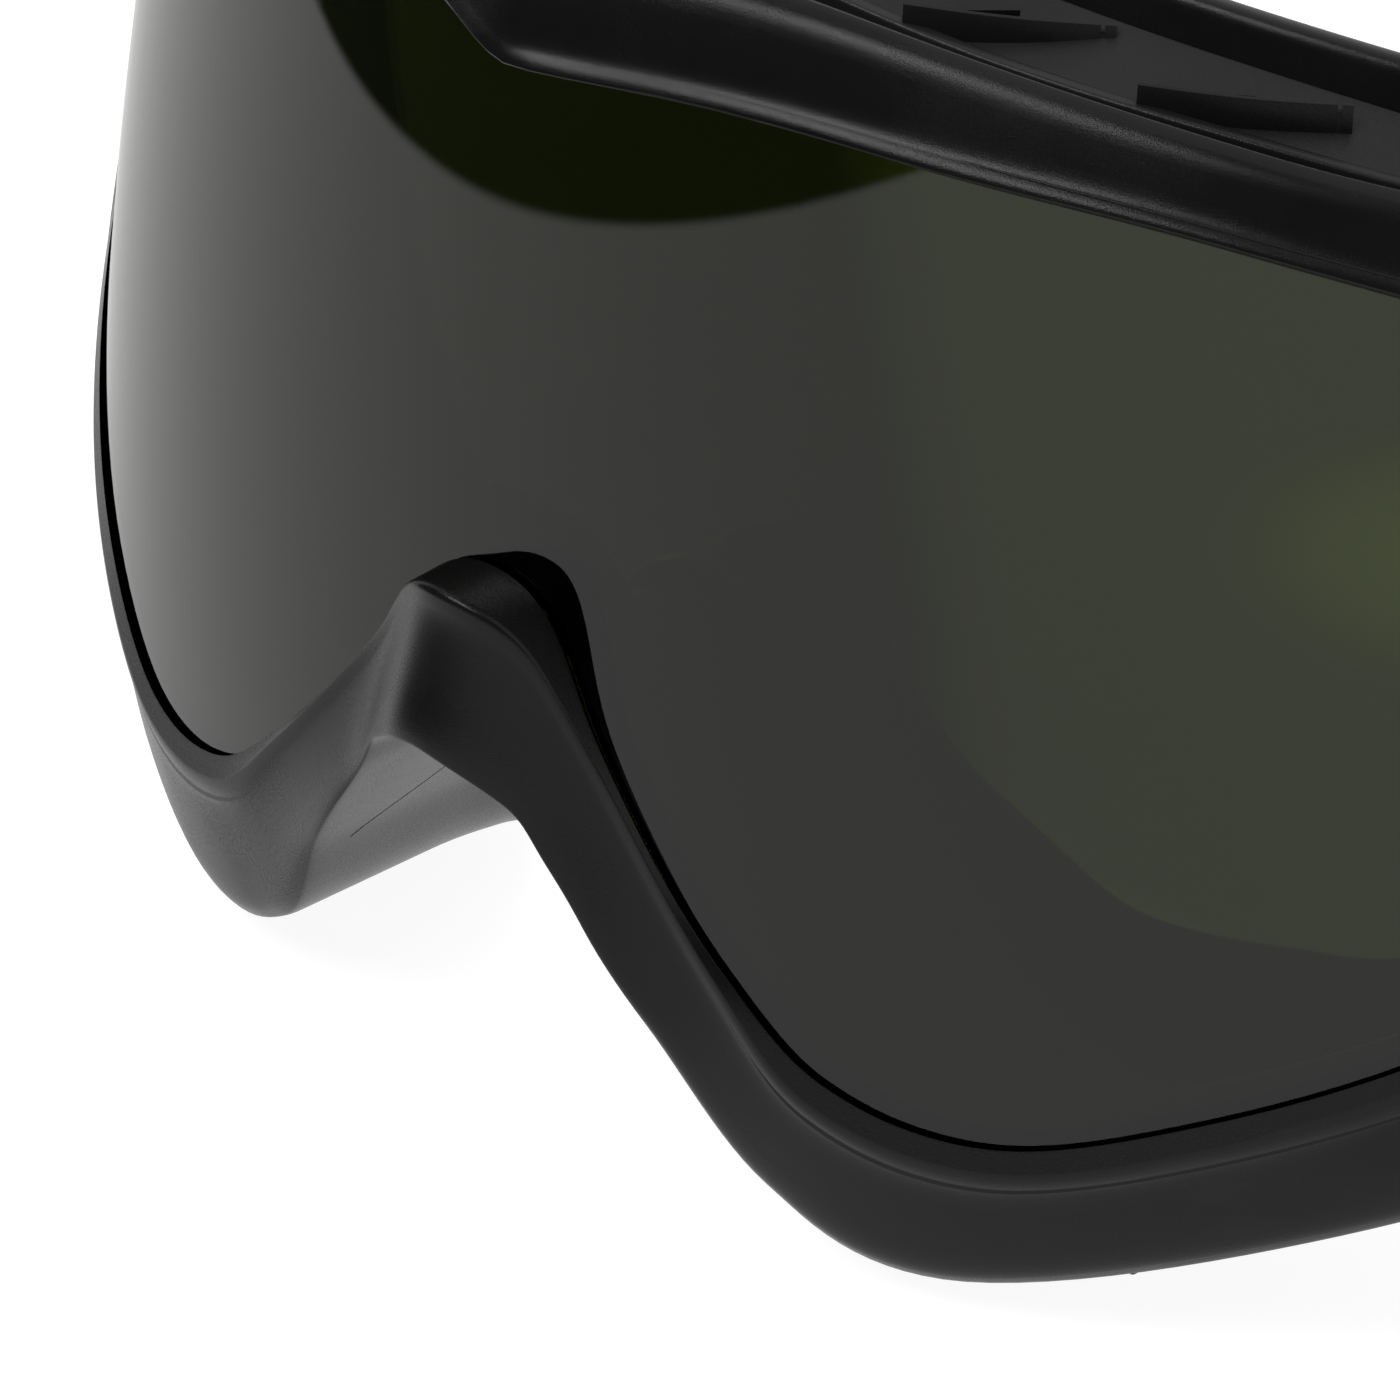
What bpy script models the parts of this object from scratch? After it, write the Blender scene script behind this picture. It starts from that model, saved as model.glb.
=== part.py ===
"""Welding goggles: a moulded frame round one dark panoramic lens, a soft face seal, louvred top vents,
capped bottom vents, and an elastic head strap on two pivoting clips.

Metres, +Z up. The wearer looks along -Y, and the wearer's left is +X. The goggles stand on their two
bottom vent covers. Lengths below are in millimetres and MM turns them into metres.
"""

import math

import bmesh
import bpy
from mathutils import Matrix, Vector

MM = 0.001

# Where the design's own origin (the middle of the lip's plane) stands in the part's frame.
REST_HEIGHT = 48.6
FRONT_TO_MIDDLE = 119.0

# The wrapped plane of the lip: a circle in plan, straight beyond WRAP_X, leaning back towards the top, and
# bowed forward between the nose and the brow.
WRAP_RADIUS = 102.0
WRAP_X = 80.0
BOW_RADIUS, BOW_MIDDLE, BOW_HALF = 340.0, 3.0, 37.0
RECLINE = math.radians(7.1)

# The V-shaped prow on the centre line, at the brow and at the nose.
PROW_BROW, PROW_NOSE = 7.6, 4.9
PROW_WIDTH_BROW, PROW_WIDTH_NOSE = 12.9, 7.7
PROW_ROUND_BROW, PROW_ROUND_NOSE = 1.5, 2.2

# The face side: a circle in plan, nearer to the lens over the nose.
FACE_DEPTH = 27.0
FACE_RADIUS = 105.0
NOSE_RELIEF = 6.0
NOSE_RELIEF_WIDTH = 15.0

# Half outlines seen from the front, from the nose notch round the cheek and temple to the brow.
LIP = [
    (0, -0.1), (5.5, -2.2), (11.4, -10.4), (22.6, -24), (31, -32), (43.5, -33.8), (57, -28.8), (71, -20.4),
    (82.4, -8.8), (87, 7), (83.4, 23), (70.5, 33.2), (49, 38.3), (25, 39.5), (0, 40.1),
]
RIM = [
    (0, -11.7), (6.4, -14.8), (9.9, -19.8), (17, -30), (25.2, -42.2), (38.5, -46), (61.5, -37.4), (79, -27),
    (91.4, -12.8), (96, 7.5), (91, 28.4), (73, 38.8), (49.5, 43.1), (25.5, 45.9), (0, 48),
]
REAR = [
    (0, -15.4), (5.4, -17.4), (9.8, -23.4), (16.6, -33), (25.4, -43.8), (38.5, -47.4), (63, -39.5), (81, -29),
    (92.5, -13.5), (96.5, 7.5), (92, 30), (75, 41.9), (50.5, 45.4), (26.5, 47.8), (0, 49.4),
]
STEPS = 3  # stations between two points of an outline

GAP = 0.3
LENS_CLEAR = 0.45
LENS_SUNK = 1.0  # behind the lip's plane
LENS_THICK = 2.2
LENS_EDGE = 1.2  # how far the lens runs under the lip
WALL_IN_BOTTOM, WALL_IN_TOP = 7.8, 1.2
LIP_IN_NOSE, LIP_IN_BOTTOM, LIP_IN_TOP = -0.2, -2.0, -0.5
GROOVE_IN_BOTTOM, GROOVE_IN_TOP = -4.4, -1.2
TROUGH_FLOOR = 3.2
TROUGH_END = 80.0
TROUGH_FRONT, TROUGH_REAR = 7.8, 4.6  # behind the lip's plane, and ahead of the face
FLANGE_THICK = 1.8
SEAL_DEPTH = 9.0
CHEEK_REACH = 8.4

# Temple pivots, on one line across the goggles.
PIVOT_Y, PIVOT_Z = 77.0, 8.0
LUG_IN, LUG_OUT = 92.9, 97.2
PIN_R, PIN_HOLE_R = 2.2, 2.5
WASHER_THICK, WASHER_R = 0.8, 5.5
CLIP_IN, CLIP_OUT = 98.6, 102.0
CLIP_REACH, CLIP_BAR = 25.0, 3.2
PIN_HEAD_THICK, PIN_HEAD_R = 1.6, 5.4

# The strap: webbing that runs back from the clips, round the head, and doubles outside itself.
STRAP_WIDE, STRAP_THICK = 25.0, 1.6
STRAP_FALL = math.radians(14.75)
STRAP_STRAIGHT = 78.0  # straight run behind the clip's bar
STRAP_BACK = 72.0  # depth of the round stretch behind it
TAIL_REACH = 70.0
CLIP_CLEAR = 0.35

ADJUSTER_AT = 52.0  # behind the pivot
ADJUSTER_LONG, ADJUSTER_RAIL, ADJUSTER_BAR = 22.0, 3.0, 3.2

FIN_STARTS = (19.0, 36.4, 55.4)
FIN_TOPS = ((8.5, 9.8), (9.0, 11.2), (9.0, 11.2))  # offsets of its top edge, at the crest and at the rear end
FIN_LONG, FIN_THICK, FIN_TURN, FIN_DEEP = 14.8, 1.2, math.radians(38), 9.2
LOUVRE_THICK, LOUVRE_RIM, LOUVRE_RIM_TOP = 1.4, 1.3, 6.6
LOUVRE_REAR_TOP = 9.2
LOUVRE_END, FOAM_END = 69.4, 60.0
WINDOW_ALONG, WINDOW_BEHIND = (3.5, 8.0), (0.7, 1.9)

FOOT_X, FOOT_Y = 40.0, 25.5
FOOT_LONG, FOOT_DEEP, FOOT_THICK = 10.0, 9.0, 1.5
VENT_LONG, VENT_DEEP, VENT_TOP = 7.6, 6.6, -36.0
BAFFLE_LONG, BAFFLE_DEEP, BAFFLE_LOW, BAFFLE_THICK = 11.0, 9.0, -41.6, 3.0
STUB_CLEAR = 0.5


def clear_scene():
    for obj in list(bpy.data.objects):
        bpy.data.objects.remove(obj)


def collection(name):
    made = bpy.data.collections.new(name)
    bpy.context.scene.collection.children.link(made)
    return made


clear_scene()
PARTS = collection("welding_goggles")
CUTTERS = collection("cutters")
CUTTERS.hide_render = True


# ---------------------------------------------------------------- small tools


def material(name, colour, roughness, metallic=0.0, alpha=1.0):
    made = bpy.data.materials.new(name)
    made.use_nodes = True
    shader = made.node_tree.nodes["Principled BSDF"]
    shader.inputs["Base Color"].default_value = (*colour, 1)
    shader.inputs["Roughness"].default_value = roughness
    shader.inputs["Metallic"].default_value = metallic
    shader.inputs["Alpha"].default_value = alpha
    made.diffuse_color = (*colour, alpha)
    return made


def smoothstep(value, low, high):
    t = min(max((value - low) / (high - low), 0.0), 1.0)
    return t * t * (3 - 2 * t)


def mix(a, b, t):
    return a + (b - a) * t


def add(name, mesh, look, parent=None, group=PARTS):
    obj = bpy.data.objects.new(name, mesh)
    if look:
        mesh.materials.append(look)
    group.objects.link(obj)
    obj.parent = parent or DESIGN
    return obj


def mesh_of(name, bm):
    """The bmesh, drawn in millimetres, as a mesh in metres with its faces pointing out."""
    bmesh.ops.recalc_face_normals(bm, faces=bm.faces)
    bm.transform(Matrix.Scale(MM, 4))
    mesh = bpy.data.meshes.new(name)
    bm.to_mesh(mesh)
    bm.free()
    mesh.shade_smooth()
    mesh.set_sharp_from_angle(angle=math.radians(35))
    return mesh


def loft(rings, closed):
    """Quads between rings of equal length. Closed joins the last ring to the first; else both ends are capped."""
    bm = bmesh.new()
    rows = [[bm.verts.new(p) for p in ring] for ring in rings]
    count = len(rows[0])
    for a, b in zip(rows, rows[1:] + rows[:1] if closed else rows[1:]):
        for i in range(count):
            j = (i + 1) % count
            bm.faces.new((a[i], a[j], b[j], b[i]))
    if not closed:
        bm.faces.new(rows[0][::-1])
        bm.faces.new(rows[-1])
    return bm


def block(low, high):
    bm = bmesh.new()
    size = [h - l for l, h in zip(low, high)]
    middle = [(h + l) / 2 for l, h in zip(low, high)]
    bmesh.ops.create_cube(bm, size=1, matrix=Matrix.Translation(middle) @ Matrix.Diagonal((*size, 1)))
    return bm


def rod(radius, low, high, centre=(0, 0), sides=24):
    """A cylinder along X from low to high, centred on (y, z)."""
    bm = bmesh.new()
    place = Matrix.Translation(((low + high) / 2, *centre)) @ Matrix.Rotation(math.pi / 2, 4, "Y")
    bmesh.ops.create_cone(
        bm, cap_ends=True, segments=sides, radius1=radius, radius2=radius, depth=high - low, matrix=place
    )
    return bm


def bevel(obj, width, segments=2, angle=40):
    made = obj.modifiers.new("Bevel", "BEVEL")
    made.width = width * MM
    made.segments = segments
    made.limit_method = "ANGLE"
    made.angle_limit = math.radians(angle)
    return made


def boolean(obj, other, operation):
    made = obj.modifiers.new(operation.title(), "BOOLEAN")
    made.operation = operation
    made.object = other
    made.solver = "EXACT"


def tool(name, bm, parent=None):
    """A helper that cuts a part or joins it, and isn't a part itself."""
    obj = add(name, mesh_of(name, bm), None, parent, CUTTERS)
    obj.hide_render = True
    obj.display_type = "WIRE"
    return obj


# ---------------------------------------------------------------- the goggles' surfaces


def through(points, u):
    """A Catmull-Rom curve through the half outline's points, mirrored past both of its ends."""

    def point(i):
        last = len(points) - 1
        if i < 0:
            return Vector((-points[-i][0], points[-i][1]))
        if i > last:
            return Vector((-points[2 * last - i][0], points[2 * last - i][1]))
        return Vector(points[i])

    k = min(int(u), len(points) - 2)
    t = u - k
    a, b, c, d = (point(k + n) for n in (-1, 0, 1, 2))
    return 0.5 * (2 * b + (c - a) * t + (2 * a - 5 * b + 4 * c - d) * t**2 + (3 * b - a - 3 * c + d) * t**3)


def wrap(x, z):
    """Y of the lip's plane."""
    ax = abs(x)
    inside = min(ax, WRAP_X)
    drop = math.sqrt(WRAP_RADIUS**2 - inside**2)
    bow = ((z - BOW_MIDDLE) ** 2 - BOW_HALF**2) / (2 * BOW_RADIUS)
    return WRAP_RADIUS - drop + (ax - inside) * inside / drop + math.tan(RECLINE) * z + bow


def prow(x, z):
    t = smoothstep(z, 0, 40)
    height = mix(PROW_NOSE, PROW_BROW, t)
    width = mix(PROW_WIDTH_NOSE, PROW_WIDTH_BROW, t)
    return height * math.exp(-((abs(x) / width) ** mix(PROW_ROUND_NOSE, PROW_ROUND_BROW, t)))


def face(x, z):
    """Y of the frame's rear face."""
    relief = NOSE_RELIEF * math.exp(-((x / NOSE_RELIEF_WIDTH) ** 2)) * (1 - smoothstep(z, -10, 15))
    return FACE_DEPTH + x * x / (2 * FACE_RADIUS) - relief


def outline(u, o):
    """(x, z) at station u. The offset o is millimetres inside the lip below 0, 0 to 10 from lip to rim,
    and 10 to 14 from rim to the rear flange's edge."""
    lip = through(LIP, u)
    if o <= 0:
        step = 0.02
        along = through(LIP, min(u + step, len(LIP) - 1)) - through(LIP, max(u - step, 0))
        if u <= 0 or u >= len(LIP) - 1:
            along.y = 0
        along.normalize()
        return lip + o * Vector((along.y, -along.x))
    rim = through(RIM, u)
    if o <= 10:
        return lip.lerp(rim, o / 10)
    return rim.lerp(through(REAR, u), (o - 10) / 4)


def stations():
    """(u, side) right round the goggles: up the left half and down the right half."""
    last = (len(LIP) - 1) * STEPS
    ups = [(i / STEPS, 1) for i in range(last + 1)]
    downs = [(i / STEPS, -1) for i in range(last - 1, 0, -1)]
    return ups + downs


def front(u, o, deep, forward=0.0):
    """A point deep behind the lip's plane, or forward of it by a share of the prow."""
    x, z = outline(u, o)
    return Vector((x, wrap(x, z) + deep - forward * prow(x, z), z))


def glazed(u, o, behind):
    """A point behind the lens's front face, less when negative."""
    x, z = outline(u, o)
    return Vector((x, wrap(x, z) + LENS_SUNK + behind, z))


def rear(u, o, ahead=0.0):
    x, z = outline(u, o)
    return Vector((x, face(x, z) - ahead, z))


def sideness(u):
    return smoothstep(abs(through(LIP, u).x), 58, 84)


def bridge(u):
    """1 over the nose, 0 from the cheeks on."""
    return 1 - smoothstep(u, 2.4, 4.2)


def trough(u):
    """1 where the brow is hollowed for the vents, 0 elsewhere."""
    lip = through(LIP, u)
    return smoothstep(lip.y, 24, 32) * (1 - smoothstep(lip.x, TROUGH_END - 8, TROUGH_END))


def seal_line(u):
    """The offset that the middle of the seal's root follows."""
    return 9 + 2 * bridge(u) - 4 * smoothstep(through(LIP, u).y, -20, 36) - 4 * sideness(u)


def frame_section(u):
    """The frame's wall at a station: lip, band, outer wall or vent trough, flange, inner wall, groove."""
    t, s, n = trough(u), sideness(u), bridge(u)
    groove_back = LENS_THICK + LENS_CLEAR
    crease = front(u, 10, mix(4.4 - 1.4 * s, -0.6, n), mix(0.7, 1.13, n))
    wall_in = mix(WALL_IN_BOTTOM, WALL_IN_TOP, t)
    brow = smoothstep(through(LIP, u).y, 22, 34)
    lip_in = mix(mix(LIP_IN_BOTTOM, LIP_IN_NOSE, n), LIP_IN_TOP, brow)
    groove_in = mix(GROOVE_IN_BOTTOM, GROOVE_IN_TOP, brow)
    inner = glazed(u, lip_in, -LENS_CLEAR)
    crest = front(u, 0, 0, 1)
    back = rear(u, 10.4, 7)
    low = crease.lerp(back, 0.35)
    high = crease.lerp(back, 0.9)
    seal = seal_line(u)
    return [
        inner,
        inner.lerp(crest, 0.3),
        inner.lerp(crest, 0.75),
        crest,
        front(u, 0.9, mix(0.3, 0.1, n), 1),
        front(u, 1.8, mix(1.1 - 0.4 * s, 0.3, n), 1),
        front(u, 5.5, mix(1.9 - 4.2 * s, -0.2, n), mix(1, 1.05, n)),
        front(u, 8.6, mix(2.7 - 3.9 * s, -0.9, n), mix(0.95, 1.1, n)),
        front(u, 9.7, mix(3.8 - 3.2 * s, -0.9, n), mix(0.85, 1.12, n)),
        crease,
        low.lerp(front(u, TROUGH_FLOOR, TROUGH_FRONT), t),
        high.lerp(rear(u, TROUGH_FLOOR, TROUGH_REAR), t),
        rear(u, mix(12.6, 13.2, t), mix(3.2, 2.2, t)),
        rear(u, 14, 1.4),
        rear(u, 13.6, 0),
        rear(u, seal - 3.6, 0),
        rear(u, seal - 3.6, FLANGE_THICK),
        rear(u, wall_in, FLANGE_THICK + 1.2),
        front(u, wall_in, mix(7.6, 9.4, t)),
        glazed(u, groove_in, groove_back + 1.7),
        glazed(u, groove_in, groove_back),
        glazed(u, LENS_EDGE + GAP, groove_back),
        glazed(u, LENS_EDGE + GAP, -LENS_CLEAR),
    ]


def cheek_reach(u):
    """How much further in the seal runs under the cheeks."""
    lip = through(LIP, u)
    return CHEEK_REACH * smoothstep(lip.x, 14, 42) * (1 - smoothstep(lip.y, -24, 8))


def seal_section(u):
    """A soft skirt: a root on the flange, and a feathered edge that curls in towards the eyes."""
    seal = seal_line(u)
    reach = cheek_reach(u)
    curl = 1 + 0.35 * smoothstep(through(LIP, u).y, 0, 36)
    return [
        rear(u, seal + 2.8, -GAP),
        rear(u, seal + 2.9, -0.25 * SEAL_DEPTH),
        rear(u, seal + 1.4 / curl, -0.62 * SEAL_DEPTH),
        rear(u, seal - 1.2 * curl - 0.3 * reach, -0.9 * SEAL_DEPTH),
        rear(u, seal - 3.0 * curl - reach, -SEAL_DEPTH),
        rear(u, seal - 3.4 * curl - reach, -0.86 * SEAL_DEPTH),
        rear(u, seal - 1.6 * curl - 0.3 * reach, -0.68 * SEAL_DEPTH),
        rear(u, seal - 0.2, -0.44 * SEAL_DEPTH),
        rear(u, seal - 0.2, -0.26 * SEAL_DEPTH),
        rear(u, seal - 2.8, -0.18 * SEAL_DEPTH),
        rear(u, seal - 2.8, -GAP),
    ]


def mirrored(points, side):
    return [Vector((side * p.x, p.y, p.z)) for p in points]


def station_at(x):
    """The brow station whose rim is nearest to x."""
    last = len(LIP) - 1
    tries = [last - 4 + i * 0.02 for i in range(201)]
    return min(tries, key=lambda u: abs(through(RIM, u).x - x))


def brow_height(x, o):
    """Z of an offset on the brow, at x."""
    return outline(station_at(abs(x)), o).y


# ---------------------------------------------------------------- the fixed pieces


def make_frame(look):
    bm = loft([mirrored(frame_section(u), side) for u, side in stations()], closed=True)
    frame = add("frame_body", mesh_of("frame_body", bm), look)
    for side, name in ((1, "left"), (-1, "right")):
        ear = tool(f"lug_{name}", lug(side))
        bevel(ear, 1.2)
        boolean(frame, ear, "UNION")
        hole = tool(f"pin_hole_{name}", rod(PIN_HOLE_R, *sorted((side * 80, side * 110)), (PIVOT_Y, PIVOT_Z)))
        boolean(frame, hole, "DIFFERENCE")
        for i, start in enumerate(FIN_STARTS):
            boolean(frame, tool(f"top_window_{name}_{i + 1}", top_window(side, start)), "DIFFERENCE")
        boolean(frame, tool(f"bottom_window_{name}", bottom_window(side)), "DIFFERENCE")
    return frame


def lug(side):
    """The ear behind the temple that carries the clip's pin, round at its rear end."""
    half = 9.0
    points = [(60, PIVOT_Z - half), (60, PIVOT_Z + half)]
    turns = [math.pi / 2 - math.pi * i / 10 for i in range(11)]
    points += [(PIVOT_Y + half * math.cos(a), PIVOT_Z + half * math.sin(a)) for a in turns]
    return loft([[(side * x, y, z) for y, z in points] for x in (LUG_IN, LUG_OUT)], closed=False)


def fin_axes(start):
    """Where a fin starts, the way it runs and the way across it, in plan."""
    run = Vector((math.cos(FIN_TURN), math.sin(FIN_TURN)))
    return Vector((start, wrap(start, RIM[-2][1]) + FIN_DEEP)), run, Vector((-run.y, run.x))


def top_window(side, start):
    """An air slot through the brow, hidden behind the fin that starts at this x."""
    root, run, across = fin_axes(start)
    (a, b), (c, d) = WINDOW_ALONG, WINDOW_BEHIND
    corners = [root + along * run + behind * across for along, behind in ((a, c), (b, c), (b, d), (a, d))]
    levels = (brow_height(start, LIP_IN_BOTTOM - 4), brow_height(start, 11))
    return loft([[(side * spot.x, spot.y, z) for spot in corners] for z in levels], closed=False)


def bottom_window(side):
    return upright(side, VENT_LONG, VENT_DEEP, -REST_HEIGHT, VENT_TOP)


def upright(side, long, deep, low, high):
    """A block over the bottom vent's middle."""
    x = FOOT_X * side
    return block((x - long / 2, FOOT_Y - deep / 2, low), (x + long / 2, FOOT_Y + deep / 2, high))


def make_lens(look):
    """The panoramic lens: both faces follow the lip's plane, and its edge sits in the frame's groove."""
    shares = (1.0, 0.93, 0.82, 0.62, 0.36, 0.12)
    centre = Vector((0, 18))

    def ring(share, deep):
        points = []
        for u, side in stations():
            flat = centre.lerp(outline(u, LENS_EDGE), share)
            points.append((side * flat.x, wrap(flat.x, flat.y) + LENS_SUNK + deep, flat.y))
        return points

    rings = [ring(s, 0) for s in reversed(shares)]
    rings += [ring(s, LENS_THICK) for s in shares]
    return add("lens", mesh_of("lens", loft(rings, closed=False)), look)


def make_seal(look):
    bm = loft([mirrored(seal_section(u), side) for u, side in stations()], closed=True)
    return add("face_seal", mesh_of("face_seal", bm), look)


def brow_strip(side, section, end):
    """A bent bar along one half of the brow, out to x = end. section gives the corners at a station."""
    count = 9
    rings = [mirrored(section(station_at(mix(1.0, end, i / count))), side) for i in range(count + 1)]
    return loft(rings, closed=False)


def make_louvre(side, name, look):
    """A curved insert on the trough's floor: a plate that rises to the rear, with a rim behind the crest, and
    slanted fins that hide the air slots."""
    low = TROUGH_FLOOR + 0.6
    high = low + LOUVRE_THICK
    deep = TROUGH_FRONT + 1

    def section(u):
        return [
            front(u, low, deep),
            front(u, LOUVRE_RIM_TOP, deep),
            front(u, LOUVRE_RIM_TOP, deep + LOUVRE_RIM),
            front(u, high, deep + LOUVRE_RIM),
            rear(u, LOUVRE_REAR_TOP, TROUGH_REAR - 0.8),
            rear(u, low, TROUGH_REAR + 1),
        ]

    louvre = add(f"top_vent_louvre_{name}", mesh_of(name, brow_strip(side, section, LOUVRE_END)), look)
    for i, start in enumerate(FIN_STARTS):
        boolean(louvre, bpy.data.objects[f"top_window_{name}_{i + 1}"], "DIFFERENCE")
        boolean(louvre, tool(f"fin_{name}_{i + 1}", fin(side, start, high - 0.4, FIN_TOPS[i])), "UNION")
    return louvre


def fin(side, start, foot, tops):
    """One fin, from just behind the crest, slanting back and out."""
    root, run, across = fin_axes(start)
    half = across * FIN_THICK / 2
    rings = []
    for along, top in zip((0, FIN_LONG), tops):
        spots = [root + along * run - half, root + along * run + half]
        x = spots[0].x
        low, high = brow_height(x, foot), brow_height(x, top)
        corners = [(spots[0], low), (spots[1], low), (spots[1], high), (spots[0], high)]
        rings.append([(side * spot.x, spot.y, z) for spot, z in corners])
    return loft(rings, closed=False)


def make_vent_foam(side, name, look):
    """The porous strip under the trough's floor, which lets air through and stops light and spatter."""
    low, high = -1.6, WALL_IN_TOP - 0.6

    def section(u):
        return [front(u, low, 10.2), front(u, high, 10.2), rear(u, high, 4.4), rear(u, low, 4.4)]

    return add(f"top_vent_foam_{name}", mesh_of(name, brow_strip(side, section, FOAM_END)), look)


def make_baffle(side, name, look):
    """The foam pad over the bottom vent, inside the frame."""
    bm = upright(side, BAFFLE_LONG, BAFFLE_DEEP, BAFFLE_LOW, BAFFLE_LOW + BAFFLE_THICK)
    return add(f"bottom_vent_foam_{name}", mesh_of(name, bm), look)


def make_foot(side, name, look):
    """The cap under the bottom vent: a flat pad that the goggles stand on, and a plug in the vent."""
    low, high = -REST_HEIGHT, -REST_HEIGHT + FOOT_THICK
    pad = upright(side, FOOT_LONG, FOOT_DEEP, low, high)
    plug = upright(side, VENT_LONG - 2 * STUB_CLEAR, VENT_DEEP - 2 * STUB_CLEAR, low + 0.5, high + 4)
    foot = add(f"bottom_vent_cover_{name}", mesh_of(name, pad), look)
    boolean(foot, tool(f"vent_plug_{name}", plug), "UNION")
    return foot


# ---------------------------------------------------------------- pivots, clips and strap


def turned(name, profile, side, look, parent):
    """A solid turned about the pivot's axis from (radius, x) pairs, listed from the inner end out."""
    bm = bmesh.new()
    spots = [bm.verts.new((radius * MM, 0, x * MM)) for radius, x in reversed(profile)]
    for a, b in zip(spots, spots[1:]):
        bm.edges.new((a, b))
    mesh = bpy.data.meshes.new(name)
    bm.to_mesh(mesh)
    bm.free()
    obj = add(name, mesh, look, parent)
    obj.rotation_euler = (0, side * math.pi / 2, 0)
    screw = obj.modifiers.new("Turn", "SCREW")
    screw.steps = screw.render_steps = 24
    screw.use_merge_vertices = True
    screw.merge_threshold = 0.00001
    screw.use_smooth_shade = True
    return obj


def make_pin(side, name, look):
    tail_in, tail_out = LUG_IN - 1.6, LUG_IN - GAP
    head = CLIP_OUT + GAP
    profile = [
        (0, tail_in), (3.0, tail_in), (3.4, tail_in + 0.5), (3.4, tail_out), (PIN_R, tail_out), (PIN_R, head),
        (PIN_HEAD_R, head), (PIN_HEAD_R, head + 0.7), (PIN_HEAD_R - 1.2, head + PIN_HEAD_THICK),
        (0, head + PIN_HEAD_THICK),
    ]
    return turned(f"pivot_pin_{name}", profile, side, look, PIVOT)


def make_washer(side, name, look):
    low, high = LUG_OUT + GAP, LUG_OUT + GAP + WASHER_THICK
    bm = rod(WASHER_R, *sorted((side * low, side * high)))
    washer = add(f"pivot_washer_{name}", mesh_of(name, bm), look, PIVOT)
    hole = tool(f"washer_hole_{name}", rod(PIN_HOLE_R, *sorted((side * 90, side * 105))), PIVOT)
    boolean(washer, hole, "DIFFERENCE")
    return washer


def flat_curve(name, outlines, thick, look, parent):
    """A flat plate in the YZ plane from closed outlines; the ones inside the first are holes."""
    curve = bpy.data.curves.new(name, "CURVE")
    curve.dimensions = "2D"
    curve.fill_mode = "BOTH"
    curve.extrude = thick / 2 * MM
    for points in outlines:
        spline = curve.splines.new("POLY")
        spline.points.add(len(points) - 1)
        for spot, (y, z) in zip(spline.points, points):
            spot.co = (y * MM, z * MM, 0, 1)
        spline.use_cyclic_u = True
    shape = bpy.data.objects.new(name, curve)
    PARTS.objects.link(shape)
    bpy.context.view_layer.update()
    mesh = bpy.data.meshes.new_from_object(shape.evaluated_get(bpy.context.evaluated_depsgraph_get()))
    bpy.data.objects.remove(shape)
    bm = bmesh.new()
    bm.from_mesh(mesh)
    bmesh.ops.remove_doubles(bm, verts=bm.verts, dist=0.000001)
    # The curve lies in XY: its X becomes the part's Y, its Y the part's Z, and its Z the part's X.
    bm.transform(Matrix(((0, 0, 1, 0), (1, 0, 0, 0), (0, 1, 0, 0), (0, 0, 0, 1))))
    bm.to_mesh(mesh)
    bm.free()
    mesh.materials.clear()
    return add(name, mesh, look, parent)


def arc(centre, radius, start, end, count):
    turns = [math.radians(mix(start, end, i / count)) for i in range(count + 1)]
    return [(centre[0] + radius * math.cos(a), centre[1] + radius * math.sin(a)) for a in turns]


def rounded(low, high, radius, count=3):
    """A rectangle with round corners, anticlockwise."""
    (a, b), (c, d), r = low, high, radius
    return (
        arc((c - r, b + r), r, -90, 0, count)
        + arc((c - r, d - r), r, 0, 90, count)
        + arc((a + r, d - r), r, 90, 180, count)
        + arc((a + r, b + r), r, 180, 270, count)
    )


def make_clip(side, name, look):
    """The outrigger: a round boss on the pin, two arms, and the bar that the strap turns round."""
    boss, half, corner = 8.0, 16.6, 3.5
    rear_edge = CLIP_REACH
    outer = arc((0, 0), boss, 125, 235, 8)
    outer += [(6, -half + 2.2)] + arc((rear_edge - corner, -half + corner), corner, -90, 0, 4)
    outer += arc((rear_edge - corner, half - corner), corner, 0, 90, 4) + [(6, half - 2.2)]
    hole = arc((0, 0), PIN_HOLE_R, 0, 345, 23)
    slot = rounded((rear_edge - 9.5, -13.3), (rear_edge - CLIP_BAR, 13.3), 1.2)
    clip = flat_curve(f"strap_clip_{name}", [outer, hole, slot], CLIP_OUT - CLIP_IN, look, STRAP_FRAME)
    clip.location = (side * (CLIP_IN + CLIP_OUT) / 2 * MM, 0, 0)
    bevel(clip, 0.45, 2, 50)
    return clip


def strap_path():
    """The middle of the webbing in plan, from the left tail's end round the head to the right tail's end."""
    inner = CLIP_IN - CLIP_CLEAR - STRAP_THICK / 2
    outer = CLIP_OUT + CLIP_CLEAR + STRAP_THICK / 2
    bar = CLIP_REACH - CLIP_BAR + 0.4
    turn, middle = (outer - inner) / 2, (outer + inner) / 2
    tail = [(outer, bar + TAIL_REACH), (outer, bar + TAIL_REACH * 0.5), (outer, bar)]
    fold = [(middle + turn * math.cos(a), bar - turn * math.sin(a)) for a in half_turn(8)]
    run_end = bar + STRAP_STRAIGHT
    run = [(inner, bar), (inner, run_end)]
    back = [
        (inner * math.cos(a) ** 0.8, run_end + STRAP_BACK * math.sin(a) ** 0.8)
        for a in (math.pi / 2 * i / 14 for i in range(1, 14))
    ]
    half = tail + fold + run + back
    return half + [(0, run_end + STRAP_BACK)] + [(-x, y) for x, y in reversed(half)]


def half_turn(count):
    return [math.pi * i / count for i in range(1, count)]


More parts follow.
